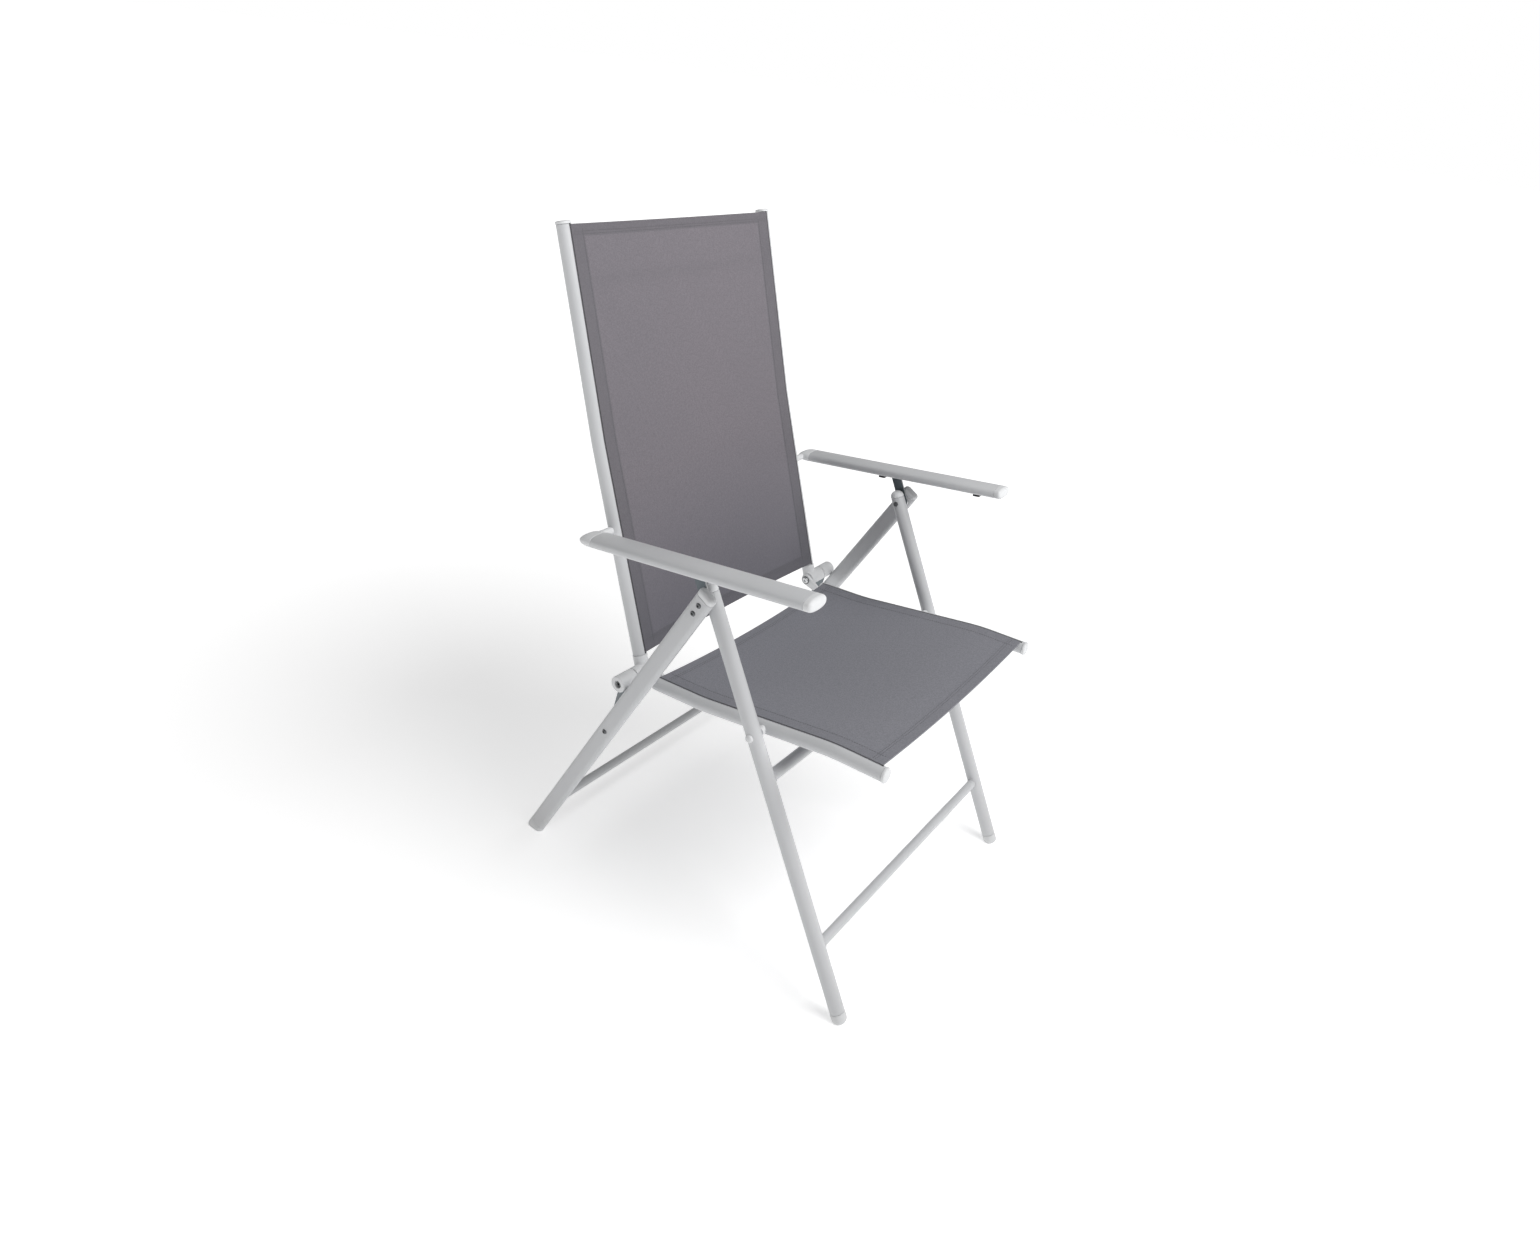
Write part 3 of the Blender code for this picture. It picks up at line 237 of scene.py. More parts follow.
def clothMaterial(name, look):
    # coated yarns in an open weave; the layers attribute carries painted shade where less light comes through
    # the cloth: 1 where the cloth lies in two layers, and a soft band where the bowed bar stands behind
    tree, shader, at = newMaterial(name, Sheen_Weight=look["sheen"], Specular_IOR_Level=0.35)
    calc = partial(maths, tree)
    place = addNode(tree, "ShaderNodeUVMap", uv_map="cloth").outputs[0]
    woven = placeGroup(tree, weave, {"Vector": place, "Pitch": look["pitch"]})
    drift = placeGroup(tree, grain, {"Vector": at, "Drift Scale": look["drift"]})["Drift"]
    # painted shade from the layers attribute: the hems and the band behind the bowed bar come out darker
    layers = addNode(tree, "ShaderNodeAttribute", attribute_name="layers").outputs["Fac"]
    warp, weft = [mixColours(tree, woven["Yarn Tone"], look[yarn + "Dark"], look[yarn + "Light"])
                  for yarn in ("warp", "weft")]
    # darker and bluer towards the bottom: painted shade, with a bluish painted reflection
    height = addNode(tree, "ShaderNodeSeparateXYZ", {0: at}).outputs["Z"]
    low = addNode(tree, "ShaderNodeMapRange",
                  {"Value": calc("MULTIPLY_ADD", drift, 0.2, height), 1: look["lowFrom"] + 0.1,
                   2: look["lowTo"] + 0.1, 3: 0.0, 4: look["lowShare"]}).outputs[0]
    colour = mixColours(tree, woven["Warp On Top"], weft, warp)
    # the holes of the weave are filled with a dark colour: painted shade in the gaps between the yarns
    for share, over in ((calc("MULTIPLY", woven["Hole"], look["holes"]), "holeColour"),
                        (calc("MULTIPLY", drift, look["driftShare"]), "driftColour"), (low, "lowColour"),
                        (calc("MULTIPLY", layers, look["doubleShare"]), "doubleColour")):
        colour = mixColours(tree, share, colour, look[over])
    rough = calc("MULTIPLY_ADD", woven["Height"], -0.2, look["rough"])
    return shadeWith(name, tree, shader, colour, rough, woven["Height"], look["bump"], look["pitch"] * 0.3)


skinLooks = {
    "greyCoat": dict(
        dark=(0.525, 0.535, 0.55), light=(0.605, 0.61, 0.62), under=(0.70, 0.70, 0.70), rough=0.40,
        roughSpread=0.12, grain=1100.0, drift=7.0, rubbed=0.25, dust=0.22, bump=0.12, depth=0.0002),
    "greyPlastic": dict(
        dark=(0.66, 0.67, 0.68), light=(0.73, 0.735, 0.745), under=(0.80, 0.80, 0.80), rough=0.50,
        roughSpread=0.10, grain=1700.0, drift=18.0, rubbed=0.15, dust=0.20, bump=0.10, depth=0.00015),
    # bluePlate: partly the bracket plate's own dark colour and partly painted shade
    "bluePlate": dict(
        dark=(0.075, 0.095, 0.11), light=(0.13, 0.155, 0.17), under=(0.36, 0.37, 0.38), metallic=0.3,
        rough=0.38, roughSpread=0.14, grain=800.0, drift=25.0, rubbed=0.7, dust=0.3, bump=0.15, depth=0.0002),
    # linkPaint is the same plate paint as bluePlate made lighter to offset the shade the link plates sit in:
    # painted light
    "linkPaint": dict(
        dark=(0.16, 0.185, 0.20), light=(0.23, 0.255, 0.27), under=(0.42, 0.43, 0.44), metallic=0.2,
        rough=0.36, roughSpread=0.12, grain=800.0, drift=25.0, rubbed=0.5, dust=0.3, bump=0.15, depth=0.0002),
    "blackPlastic": dict(
        dark=(0.012, 0.012, 0.013), light=(0.028, 0.028, 0.03), under=(0.10, 0.10, 0.10), rough=0.52,
        roughSpread=0.12, grain=1500.0, drift=30.0, rubbed=0.3, dust=0.25, bump=0.12, depth=0.00015),
    "thread": dict(
        dark=(0.085, 0.085, 0.092), light=(0.135, 0.135, 0.145), under=(0.2, 0.2, 0.2), rough=0.7,
        roughSpread=0.1, grain=3000.0, drift=60.0, rubbed=0.0, dust=0.0, bump=0.3, depth=0.0002)}
steelLooks = {
    "zincSteel": dict(dark=(0.10, 0.105, 0.11), light=(0.19, 0.195, 0.20), rough=0.24, lines=(0.2, 1.0, 1.0)),
    # brightEdge is bright steel for the hinge bolt heads; on the armrest bracket's edges it is a painted
    # highlight
    "brightEdge": dict(dark=(0.66, 0.67, 0.68), light=(0.82, 0.83, 0.84), rough=0.20, lines=(2.0, 0.3, 0.3))}
anyCloth = dict(holes=0.30, driftShare=0.50, pitch=0.0014, rough=0.78, sheen=0.10, bump=0.55)
clothLooks = {
    "backCloth": dict(
        anyCloth, warpDark=(0.168, 0.150, 0.168), warpLight=(0.224, 0.200, 0.222),
        weftDark=(0.140, 0.126, 0.142), weftLight=(0.196, 0.176, 0.196), holeColour=(0.066, 0.060, 0.068),
        driftColour=(0.126, 0.128, 0.145), drift=2.4, lowShare=0.50, lowColour=(0.112, 0.116, 0.140),
        lowFrom=0.68, lowTo=0.46, doubleShare=0.36, doubleColour=(0.082, 0.083, 0.092)),
    "seatCloth": dict(
        anyCloth, warpDark=(0.216, 0.214, 0.236), warpLight=(0.286, 0.282, 0.308),
        weftDark=(0.182, 0.181, 0.199), weftLight=(0.251, 0.248, 0.271), holeColour=(0.085, 0.085, 0.094),
        driftColour=(0.175, 0.190, 0.228), drift=3.0, lowShare=0.30, lowColour=(0.16, 0.17, 0.20),
        lowFrom=0.42, lowTo=0.34, doubleShare=0.08, doubleColour=(0.12, 0.12, 0.13))}
makers = (skinMaterial, skinLooks), (steelMaterial, steelLooks), (clothMaterial, clothLooks)
finish = {name: make(name, look) for make, looks in makers for name, look in looks.items()}
slotOf = {"greyCoat": "frame_paint", "greyPlastic": "cap_plastic", "blackPlastic": "rack_plastic",
          "bluePlate": "bracket_paint", "linkPaint": "bracket_paint", "zincSteel": "steel",
          "brightEdge": "steel", "backCloth": "sling_fabric", "seatCloth": "sling_fabric",
          "thread": "sling_fabric"}
print("finishes made")


def atX(point, x):
    return Vector((x, point.y, point.z))


def ringOf(section, centre, first, second):
    return [centre + first * a + second * b for a, b in section]


def circle(radius, count=48):
    turn = 2 * math.pi / count
    return [(radius * math.cos(i * turn), radius * math.sin(i * turn)) for i in range(count)]


def hexagon(flat, count=48):
    points = []
    for a, b in circle(1.0, count):
        angle = math.atan2(b, a) % (math.pi / 3) - math.pi / 6
        points.append((a * flat / math.cos(angle), b * flat / math.cos(angle)))
    return points


def stadium(length, width, steps=14):
    # the length runs along the first axis
    radius, reach = width / 2, (length - width) / 2
    points = []
    for sign in (1, -1):
        for i in range(steps + 1):
            angle = math.pi * (i / steps - 0.5)
            points.append((sign * (reach + radius * math.cos(angle)), sign * radius * math.sin(angle)))
    return points


def superOval(width, height, power, count=72):
    points = []
    for a, b in circle(1.0, count):
        points.append((math.copysign(abs(a) ** (2 / power), a) * width / 2,
                       math.copysign(abs(b) ** (2 / power), b) * height / 2))
    return points


def meshOf(name, shape):
    mesh = bpy.data.meshes.new(name)
    shape.to_mesh(mesh)
    shape.free()
    return mesh


def joinedMesh(name, meshes):
    shape = bmesh.new()
    for mesh in meshes:
        shape.from_mesh(mesh)
    return meshOf(name, shape)


def loftMesh(name, rings):
    shape = bmesh.new()
    loops = [[shape.verts.new(point) for point in ring] for ring in rings]
    for loop, after in zip(loops, loops[1:]):
        for i in range(len(loop)):
            j = (i + 1) % len(loop)
            shape.faces.new((loop[i], loop[j], after[j], after[i]))
    shape.faces.new(loops[0])
    shape.faces.new(loops[-1])
    bmesh.ops.recalc_face_normals(shape, faces=shape.faces)
    return meshOf(name, shape)


def straight(name, centre, direction, first, sectionAt, levels):
    # levels are pairs of distance along the direction and what the section is given there
    second = direction.cross(first)
    return loftMesh(name, [ringOf(sectionAt(size), centre + direction * distance, first, second)
                           for distance, size in levels])


def roundedEnds(low, high, radius, steps=3):
    # distances and shrinkages of a bar whose two ends are rounded over
    turns = [math.pi / 2 * i / steps for i in range(steps + 1)]
    start = [(low + radius * (1 - math.sin(t)), radius * (1 - math.cos(t))) for t in reversed(turns)]
    return start + [(high - radius * (1 - math.sin(t)), radius * (1 - math.cos(t))) for t in turns]


def domeLevels(base, radius, height, fullness=0.8, steps=9):
    # distances and radii of a rounded end that starts at the base
    turns = [math.pi / 2 * i / steps for i in range(steps)]
    levels = [(base + height * math.sin(t), radius * math.cos(t) ** fullness) for t in turns]
    return levels + [(base + height, radius * 0.02)]


def turnedMesh(name, centre, axis, levels):
    first = across.cross(axis).normalized() if abs(axis.x) < 0.9 else rearward
    return straight(name, centre, axis, first, circle, levels)


def tangentAt(path, i):
    return (path[min(i + 1, len(path) - 1)] - path[max(i - 1, 0)]).normalized()


def sweepMesh(name, path, first, sectionAt, edge=0.0006):
    # the path stays at right angles to the section's first axis, and both ends are chamfered
    rings = []
    for i, point in enumerate(path):
        tangent = tangentAt(path, i)
        second = tangent.cross(first).normalized()
        if i in (0, len(path) - 1):
            inward = tangent * (edge if i == 0 else -edge)
            pair = [ringOf(sectionAt(edge), point, first, second),
                    ringOf(sectionAt(0), point + inward, first, second)]
            rings += pair if i == 0 else reversed(pair)
        else:
            rings.append(ringOf(sectionAt(0), point, first, second))
    return loftMesh(name, rings)


def strapOutline(start, end, startR, endR, steps=16):
    # outline of a flat bar with round ends, in the chair's side plane
    heading = math.atan2(end.z - start.z, end.y - start.y)
    points = []
    for centre, radius, begin in ((end, endR, heading - math.pi / 2), (start, startR, heading + math.pi / 2)):
        for i in range(steps + 1):
            angle = begin + math.pi * i / steps
            points.append(centre + Vector((0, math.cos(angle), math.sin(angle))) * radius)
    return points


def strapMesh(name, start, end, startR, endR, lowX, highX, edge=0.0005):
    rings = []
    for x, shrink in roundedEnds(lowX, highX, edge):
        outline = strapOutline(start, end, startR - shrink, endR - shrink)
        rings.append([atX(point, x) for point in outline])
    return loftMesh(name, rings)


def boxMesh(name, low, high, place, edge=0.0004):
    shape = bmesh.new()
    bmesh.ops.create_cube(shape, size=1.0)
    size = Vector(high) - Vector(low)
    shape.transform(Matrix.Translation((Vector(high) + Vector(low)) / 2) @ Matrix.Diagonal((*size, 1)))
    if edge:
        bmesh.ops.bevel(shape, geom=shape.edges, offset=edge, segments=2, affect="EDGES", profile=0.5)
    shape.transform(place)
    return meshOf(name, shape)


def holder(name, mesh):
    obj = bpy.data.objects.new(name, mesh)
    scene.collection.objects.link(obj)
    return obj


def takeMesh(obj):
    bpy.context.view_layer.update()
    graph = bpy.context.evaluated_depsgraph_get()
    mesh = bpy.data.meshes.new_from_object(obj.evaluated_get(graph), depsgraph=graph)
    bpy.data.objects.remove(obj)
    return mesh


def cutMesh(mesh, cutter):
    obj, other = holder("cutting", mesh), holder("cutter", cutter)
    modifier = obj.modifiers.new("cut", "BOOLEAN")
    modifier.operation = "DIFFERENCE"
    modifier.object = other
    mesh = takeMesh(obj)
    bpy.data.objects.remove(other)
    return mesh


def meltedMesh(name, meshes, voxel, rounds):
    # one skin over several shapes, with soft fillets where they meet
    obj = holder(name, joinedMesh(name, meshes))
    remesh = obj.modifiers.new("skin", "REMESH")
    remesh.mode = "VOXEL"
    remesh.voxel_size = voxel
    smooth = obj.modifiers.new("fillets", "SMOOTH")
    smooth.factor = 0.5
    smooth.iterations = rounds
    return takeMesh(obj)


def addPiece(name, mesh, material, body, replaced=(), slotName=None, sharp=38):
    # a mesh that brings its own materials is given None and the name of its slot, which is not used
    if material:
        mesh.materials.clear()
        mesh.materials.append(finish[material])
    mesh.shade_smooth()
    mesh.set_sharp_from_angle(angle=math.radians(sharp))
    piece = holder(name, mesh)
    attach(piece, body)
    slotName or slotOf[material]
    if replaced:
        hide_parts(*replaced)
    return piece


def addPair(name, mesh, material, body, node=None, slotName=None, sharp=38):
    other = mesh.copy()
    other.transform(flip)
    other.flip_normals()
    for side, shape in (("Left", mesh), ("Right", other)):
        replaced = [f"{node}_{side.lower()}"] if node else []
        addPiece(name + side, shape, material, body, replaced, slotName, sharp)


def treeWith(name, inputs):
    tree = bpy.data.node_groups.new(name, "GeometryNodeTree")
    tree.interface.new_socket(name="Line", in_out="INPUT", socket_type="NodeSocketGeometry")
    for label, value in inputs.items():
        kinds = {float: "NodeSocketFloat", int: "NodeSocketInt", type(None): "NodeSocketMaterial"}
        socket = tree.interface.new_socket(name=label, in_out="INPUT", socket_type=kinds[type(value)])
        if value is not None:
            socket.default_value = value
    tree.interface.new_socket(name="Row", in_out="OUTPUT", socket_type="NodeSocketGeometry")
    return tree, tree.nodes.new("NodeGroupInput").outputs, tree.nodes.new("NodeGroupOutput").inputs


def finishRow(tree, instances, material, output):
    real = addNode(tree, "GeometryNodeRealizeInstances", {0: instances})
    smooth = addNode(tree, "GeometryNodeSetShadeSmooth", {0: real.outputs[0]})
    painted = addNode(tree, "GeometryNodeSetMaterial", {0: smooth.outputs[0], "Material": material})
    tree.links.new(painted.outputs[0], output)


def pointsAlong(tree, line, spacing):
    curve = addNode(tree, "GeometryNodeMeshToCurve", {0: line}).outputs[0]
    return addNode(tree, "GeometryNodeResampleCurve", {0: curve, "Length": spacing}, mode="LENGTH").outputs[0]


def makeBeadRow():
    # small long beads that follow a line: stitches of thread, or the ripples of a weld
    tree, given, made = treeWith("beadRow", {
        "Spacing": 0.004, "Bead Length": 0.003, "Bead Width": 0.0006, "Unevenness": 0.1, "Seed": 3,
        "Finish": None})
    bead = addNode(tree, "GeometryNodeMeshUVSphere", {"Segments": 6, "Rings": 5, "Radius": 0.5})
    turned = addNode(tree, "FunctionNodeAlignRotationToVector",
                     {"Vector": addNode(tree, "GeometryNodeInputTangent").outputs[0]}, axis="X")
    size = addNode(tree, "ShaderNodeCombineXYZ", {0: given["Bead Length"], 1: given["Bead Width"],
                                                  2: given["Bead Width"]})
    least, most = [maths(tree, operation, 1.0, given["Unevenness"]) for operation in ("SUBTRACT", "ADD")]
    chance = addNode(tree, "FunctionNodeRandomValue", {2: least, 3: most, "Seed": given["Seed"]},
                     data_type="FLOAT")
    scaled = addNode(tree, "ShaderNodeVectorMath", {0: size.outputs[0], "Scale": chance.outputs[1]},
                     operation="SCALE")
    beads = addNode(tree, "GeometryNodeInstanceOnPoints",
                    {"Points": pointsAlong(tree, given["Line"], given["Spacing"]),
                     "Instance": bead.outputs[0], "Rotation": turned.outputs[0], "Scale": scaled.outputs[0]})
    finishRow(tree, beads.outputs[0], given["Finish"], made["Row"])
    return tree


def makeToothRow():
    # blocks at even steps on a straight line, level with it
    tree, given, made = treeWith("toothRow", {
        "Pitch": 0.0185, "Tooth Length": 0.012, "Tooth Width": 0.011, "Tooth Height": 0.003, "Tilt": 0.0,
        "Finish": None})
    size = addNode(tree, "ShaderNodeCombineXYZ", {0: given["Tooth Width"], 1: given["Tooth Length"],
                                                  2: given["Tooth Height"]})
    tooth = addNode(tree, "GeometryNodeMeshCube", {"Size": size.outputs[0]})
    tilt = addNode(tree, "ShaderNodeCombineXYZ", {0: given["Tilt"]})
    teeth = addNode(tree, "GeometryNodeInstanceOnPoints",
                    {"Points": pointsAlong(tree, given["Line"], given["Pitch"]),
                     "Instance": tooth.outputs[0], "Rotation": tilt.outputs[0]})
    finishRow(tree, teeth.outputs[0], given["Finish"], made["Row"])
    return tree


beadRow, toothRow = makeBeadRow(), makeToothRow()


def lineMesh(lines):
    mesh = bpy.data.meshes.new("lines")
    points, edges = [], []
    for line, closed in lines:
        start = len(points)
        points += [tuple(point) for point in line]
        edges += [(start + i, start + i + 1) for i in range(len(line) - 1)]
        if closed:
            edges.append((start + len(line) - 1, start))
    mesh.from_pydata(points, edges, [])
    return mesh


def rowMesh(tree, lines, values, material):
    obj = holder("row", lineMesh(lines))
    modifier = obj.modifiers.new("row", "NODES")
    modifier.node_group = tree
    for item in tree.interface.items_tree:
        if item.in_out == "INPUT" and item.name in values:
            modifier[item.identifier] = values[item.name]
        elif item.in_out == "INPUT" and item.name == "Finish":
            modifier[item.identifier] = finish[material]
    return takeMesh(obj)

frontLeg = {"top": 0.0100, "end": 0.0170, "plugDome": 0.0110, "rim": 0.0012, "edge": 0.0009, "toe": 0.0060,
            "toeShrink": 0.0022}
rearLeg = {"length": 0.0310, "top": 0.0120, "end": 0.0170, "edge": 0.0005, "capWall": 0.0050,
           "capRound": 0.0055, "toe": 0.0100, "toeShrink": 0.0025}
footEdge = 0.0004


def rearSection(shrink):
    return stadium(rearLeg["length"] - 2 * shrink, rearLegThick - 2 * shrink)


def addLeg(label, x, down, leg, sectionAt, capLevels, footLevels):
    centre, normal, body = atX(legPivot, x), down.cross(across), label + "_frame"
    reach = legPivot.z / -down.z
    tube = straight("leg", centre, down, normal, sectionAt,
                    roundedEnds(-leg["top"], reach - leg["end"], leg["edge"]))
    addPair(label + "Leg", tube, "greyCoat", body, label + "_leg")
    cap = straight("legCap", centre, -down, normal, sectionAt, capLevels)
    addPair(label + "LegCap", cap, "greyPlastic", body, label + "_leg_cap")
    # the foot is a moulded cup, cut level by the floor
    rings = []
    for height, shrink in footLevels:
        section = ringOf(sectionAt(shrink), centre + down * (reach - height), normal, across)
        rings.append([point - down * (min(0.0, point.z) / down.z) for point in section])
    addPair(label + "Foot", loftMesh("foot", rings), "greyPlastic", body, label + "_foot")


def makeLegs(rings=9, steps=8):
    base, edge = frontLeg["top"] + gap, frontLeg["edge"]
    cap = [(base, edge), (base + edge, 0.0)]
    dome = domeLevels(base + frontLeg["rim"], frontLegR, frontLeg["plugDome"])
    cap += [(at, frontLegR - radius) for at, radius in dome]
    foot = []
    for i in range(rings + 1):
        height = (frontLeg["end"] - gap) * (1 - i / rings)
        toe = frontLeg["toeShrink"] * max(0.0, 1 - height / frontLeg["toe"]) ** 2
        foot.append((height, toe - gap + (footEdge if i in (0, rings) else 0.0)))
    addLeg("front", frontLegX, frontDown, frontLeg, lambda shrink: circle(frontLegR - shrink), cap, foot)
    base, edge = rearLeg["top"] + gap, rearLeg["edge"]
    cap = [(base, edge), (base + edge, 0)]
    for i in range(steps + 1):
        turn = math.pi / 2 * i / steps
        cap.append((base + rearLeg["capWall"] + rearLeg["capRound"] * math.sin(turn),
                    rearLeg["capRound"] * (1 - math.cos(turn))))
    foot = []
    for i in range(rings + 1):
        height = (rearLeg["end"] - gap) - (rearLeg["end"] + rearLeg["length"] / 3) * i / rings
        toe = rearLeg["toeShrink"] * max(0.0, -height / rearLeg["toe"]) ** 2
        foot.append((height, toe - gap if i else footEdge))
    addLeg("rear", rearLegX, rearDown, rearLeg, rearSection, cap, foot)


makeLegs()
print("legs made")

weldLook = {"Spacing": 0.0014, "Bead Length": 0.0030, "Bead Width": 0.0026, "Unevenness": 0.12, "Seed": 11}
weld = {"points": 28, "lift": 0.0004, "bite": 0.0010, "clear": 0.0002}
frontBars = {"Upper": {"down": 0.2810, "radius": 0.0095}, "Lower": {"down": 0.5550, "radius": 0.0080}}
rearBar = {"down": 0.5890, "radius": 0.0080, "weldLift": 0.0005}
bowedBar = {"radius": 0.0075, "bow": 0.0170, "drop": 0.0025, "points": 17}
bowedAt = {"seat": 0.062, "backTop": 0.056, "backBottom": 0.076}


def meetingX(spot, axisPoint, run, meetX, meetR):
    # how far out a point of a cross bar meets the round tube beside it
    offset = (spot - axisPoint).dot(run.cross(across))
    return meetX - math.sqrt(max(meetR ** 2 - offset ** 2, 0.0))


def addWelds(name, seams, body):
    addPiece(name, rowMesh(beadRow, [(seam, True) for seam in seams], weldLook, "greyCoat"), "greyCoat", body)


def addBar(name, weldName, path, run, radius, axisPoint, meetX, meetR, body, node, clear=0.0):
    # a bar whose ends are shaped to the round tubes, with a row of weld ripples round each
    rings = [ringOf(circle(radius), point, run, tangentAt(path, i).cross(run))
             for i, point in enumerate(path)]
    for side, ring in ((-1, rings[0]), (1, rings[-1])):
        for spot in ring:
            spot.x = side * (meetingX(spot, axisPoint, run, meetX, meetR) + weld["bite"])
    addPiece(name, loftMesh(name, rings), "greyCoat", body, [node])
    seams = []
    for side in (1, -1):
        seam = ringOf(circle(radius + weld["lift"], weld["points"]), atX(path[0], 0), run, run.cross(across))
        seams.append([spot + across * side * meetingX(spot, axisPoint, run, meetX, meetR + clear)
                      for spot in seam])
    addWelds(weldName, seams, body)


def makeLegBars():
    reach = frontLegX - frontLegR
    for label, bar in frontBars.items():
        place = legPivot + frontDown * bar["down"]
        path = [place + across * reach * share for share in (-1, 0, 1)]
        addBar("frontBar" + label, "weldBeads" + label, path, frontDown, bar["radius"], place, frontLegX,
               frontLegR, "front_frame", f"front_crossbar_{label.lower()}", weld["clear"])
    place = legPivot + rearDown * rearBar["down"]
    reach = rearLegX - rearLegThick / 2
    bar = straight("rearBar", place - across * reach, across, rearDown, circle,
                   [(0.0, rearBar["radius"]), (2 * reach, rearBar["radius"])])
    addPiece("rearBar", bar, "greyCoat", "rear_frame", ["rear_crossbar"])
    addWelds("weldBeadsRear", [ringOf(circle(rearBar["radius"] + rearBar["weldLift"], weld["points"]),
                                      place + across * side * (reach - gap), rearDown, rearDown.cross(across))
                               for side in (1, -1)], "rear_frame")


def makeBowedBar(name, place, run, body, node):
    # a bar between the side tubes that bows away from the cloth
    away = Vector((0, run.z, -run.y))
    path = []
    for i in range(bowedBar["points"]):
        x = bodyX * (2 * i / (bowedBar["points"] - 1) - 1)
        path.append(place + away * (bowedBar["drop"] + bowedBar["bow"] * (1 - (x / bodyX) ** 2)) + across * x)
    addBar(name, name + "Welds", path, run, bowedBar["radius"], place, bodyX, bodyR, body, node)


makeLegBars()


def rounded(corners, radius, steps=12):
    path = [corners[0]]
    for before, corner, after in zip(corners, corners[1:], corners[2:]):
        back, ahead = (before - corner).normalized(), (after - corner).normalized()
        reach = radius * math.tan((math.pi - back.angle(ahead)) / 2)
        start, end = corner + back * reach, corner + ahead * reach
        for i in range(steps + 1):
            t = i / steps
            path.append(start * (1 - t) ** 2 + corner * 2 * t * (1 - t) + end * t ** 2)
    path.append(corners[-1])
    return path


def leaning(degrees):
    return Vector((0, math.sin(math.radians(degrees)), math.cos(math.radians(degrees))))


seatTube = {"slope": 0.17, "frontSlope": 0.05, "rearSlope": 0.082, "frontBend": 0.1156, "rearBend": 0.1194,
            "frontEnd": 0.2000, "bendRadius": 0.4, "eyeReach": 0.029}
backTube = {"lean": 18.8, "upperLean": 16.2, "setback": 0.0040, "bend": 0.37, "bendRadius": 0.5,
            "length": 0.69, "collar": 0.027}
tubeCap = {"dome": 0.0024, "rim": 0.0026, "edge": 0.0005, "proud": 0.0007, "fullness": 0.35}

frontBend = seatPivot + Vector((0, -1, seatTube["slope"])) * seatTube["frontBend"]
rearBend = seatPivot + Vector((0, 1, -seatTube["slope"])) * seatTube["rearBend"]
frontRun = seatTube["frontEnd"] - seatTube["frontBend"]
rearRun = hinge.y - seatTube["eyeReach"] - rearBend.y
seatFront = frontBend + Vector((0, -1, seatTube["frontSlope"])) * frontRun
seatRear = rearBend + Vector((0, 1, -seatTube["rearSlope"])) * rearRun
seatLine = rounded([seatFront, frontBend, rearBend, seatRear], seatTube["bendRadius"])
seatRun = (frontBend - seatFront).normalized()

backUp, backUpper = leaning(backTube["lean"]), leaning(backTube["upperLean"])
backRoot = hinge + Vector((0, backUp.z, -backUp.y)) * backTube["setback"]
backStart = backRoot + backUp * backTube["collar"]
backBend = backRoot + backUp * backTube["bend"]
backTop = backBend + backUpper * (backTube["length"] - backTube["bend"])
backLine = rounded([backStart, backBend, backTop], backTube["bendRadius"])


def endCapMesh(name, end, direction):
    radius, rim = bodyR + tubeCap["proud"], gap + tubeCap["rim"]
    levels = [(gap, radius - tubeCap["edge"]), (gap + tubeCap["edge"], radius), (rim, radius)]
    levels += domeLevels(rim, radius, tubeCap["dome"], tubeCap["fullness"])[1:]
    return turnedMesh(name, end + across * bodyX, direction, levels)


def makeBodyTubes():
    for label, line in (("seat", seatLine), ("back", backLine)):
        path = [point + across * bodyX for point in line]
        tube = sweepMesh(label + "Tube", path, across, lambda shrink: circle(bodyR - shrink))
        addPair(label + "Tube", tube, "greyCoat", label, label + "_tube")
    for label, end, direction in (("seat", seatFront, -seatRun), ("back", backTop, backUpper)):
        addPair(label + "TubeCap", endCapMesh("tubeCap", end, direction), "greyPlastic", label,
                label + "_tube_cap")
    for name, place, run, body, node in (
            ("seatSpreader", seatFront + seatRun * bowedAt["seat"], seatRun, "seat", "seat_spreader"),
            ("backBarTop", backTop - backUpper * bowedAt["backTop"], backUpper, "back", "back_crossbar_top"),
            ("backBarBottom", backRoot + backUp * bowedAt["backBottom"], backUp, "back",
             "back_crossbar_bottom")):
        makeBowedBar(name, place, run, body, node)


makeBodyTubes()
print("tubes made")

fitting = {"barrelR": 0.0135, "inner": bodyX - bodyR - 0.0013, "length": 0.0394, "edge": 0.0016,
           "columnWall": 0.0008, "voxel": 0.0006, "rounds": 5}
eye = {"thick": 0.0060, "radius": 0.0105, "heel": 0.0060, "nose": 0.0050, "edge": 0.0012, "taper": 0.0035,
       "voxel": 0.0006, "rounds": 4}
washer = {"radius": 0.0076, "belly": 0.0003, "thick": 0.0008}
bumper = {"groove": 0.0010, "inset": 0.0006, "recess": 0.0064, "recessEdge": 0.0004, "depth": 0.0050,
          "edge": 0.0012}
# radius, height and half the socket's width of each kind of head
heads = {"hinge": (0.0060, 0.0022, 0.0026), "bumper": (0.0050, 0.0026, 0.0022),
         "armrest": (0.0056, 0.0030, 0.0022), "screw": (0.0043, 0.0019, 0.0017)}
linkEndR = 0.0075
barrelEnd = fitting["inner"] + fitting["length"]


def hexHead(name, centre, axis, kind):
    # a button head with a hexagon socket sunk in it
    radius, height, socket = heads[kind]
    profile = [(circle(radius * share), up) for share, up in
               ((1, 0), (1, 0.25), (0.93, 0.6), (0.78, 0.88), (0.62, 1))]
    profile += [(hexagon(socket), 1), (hexagon(socket * 0.97), 0.2)]
    return loftMesh(name, [ringOf(section, centre + axis * height * up, rearward, axis.cross(rearward))
                           for section, up in profile])


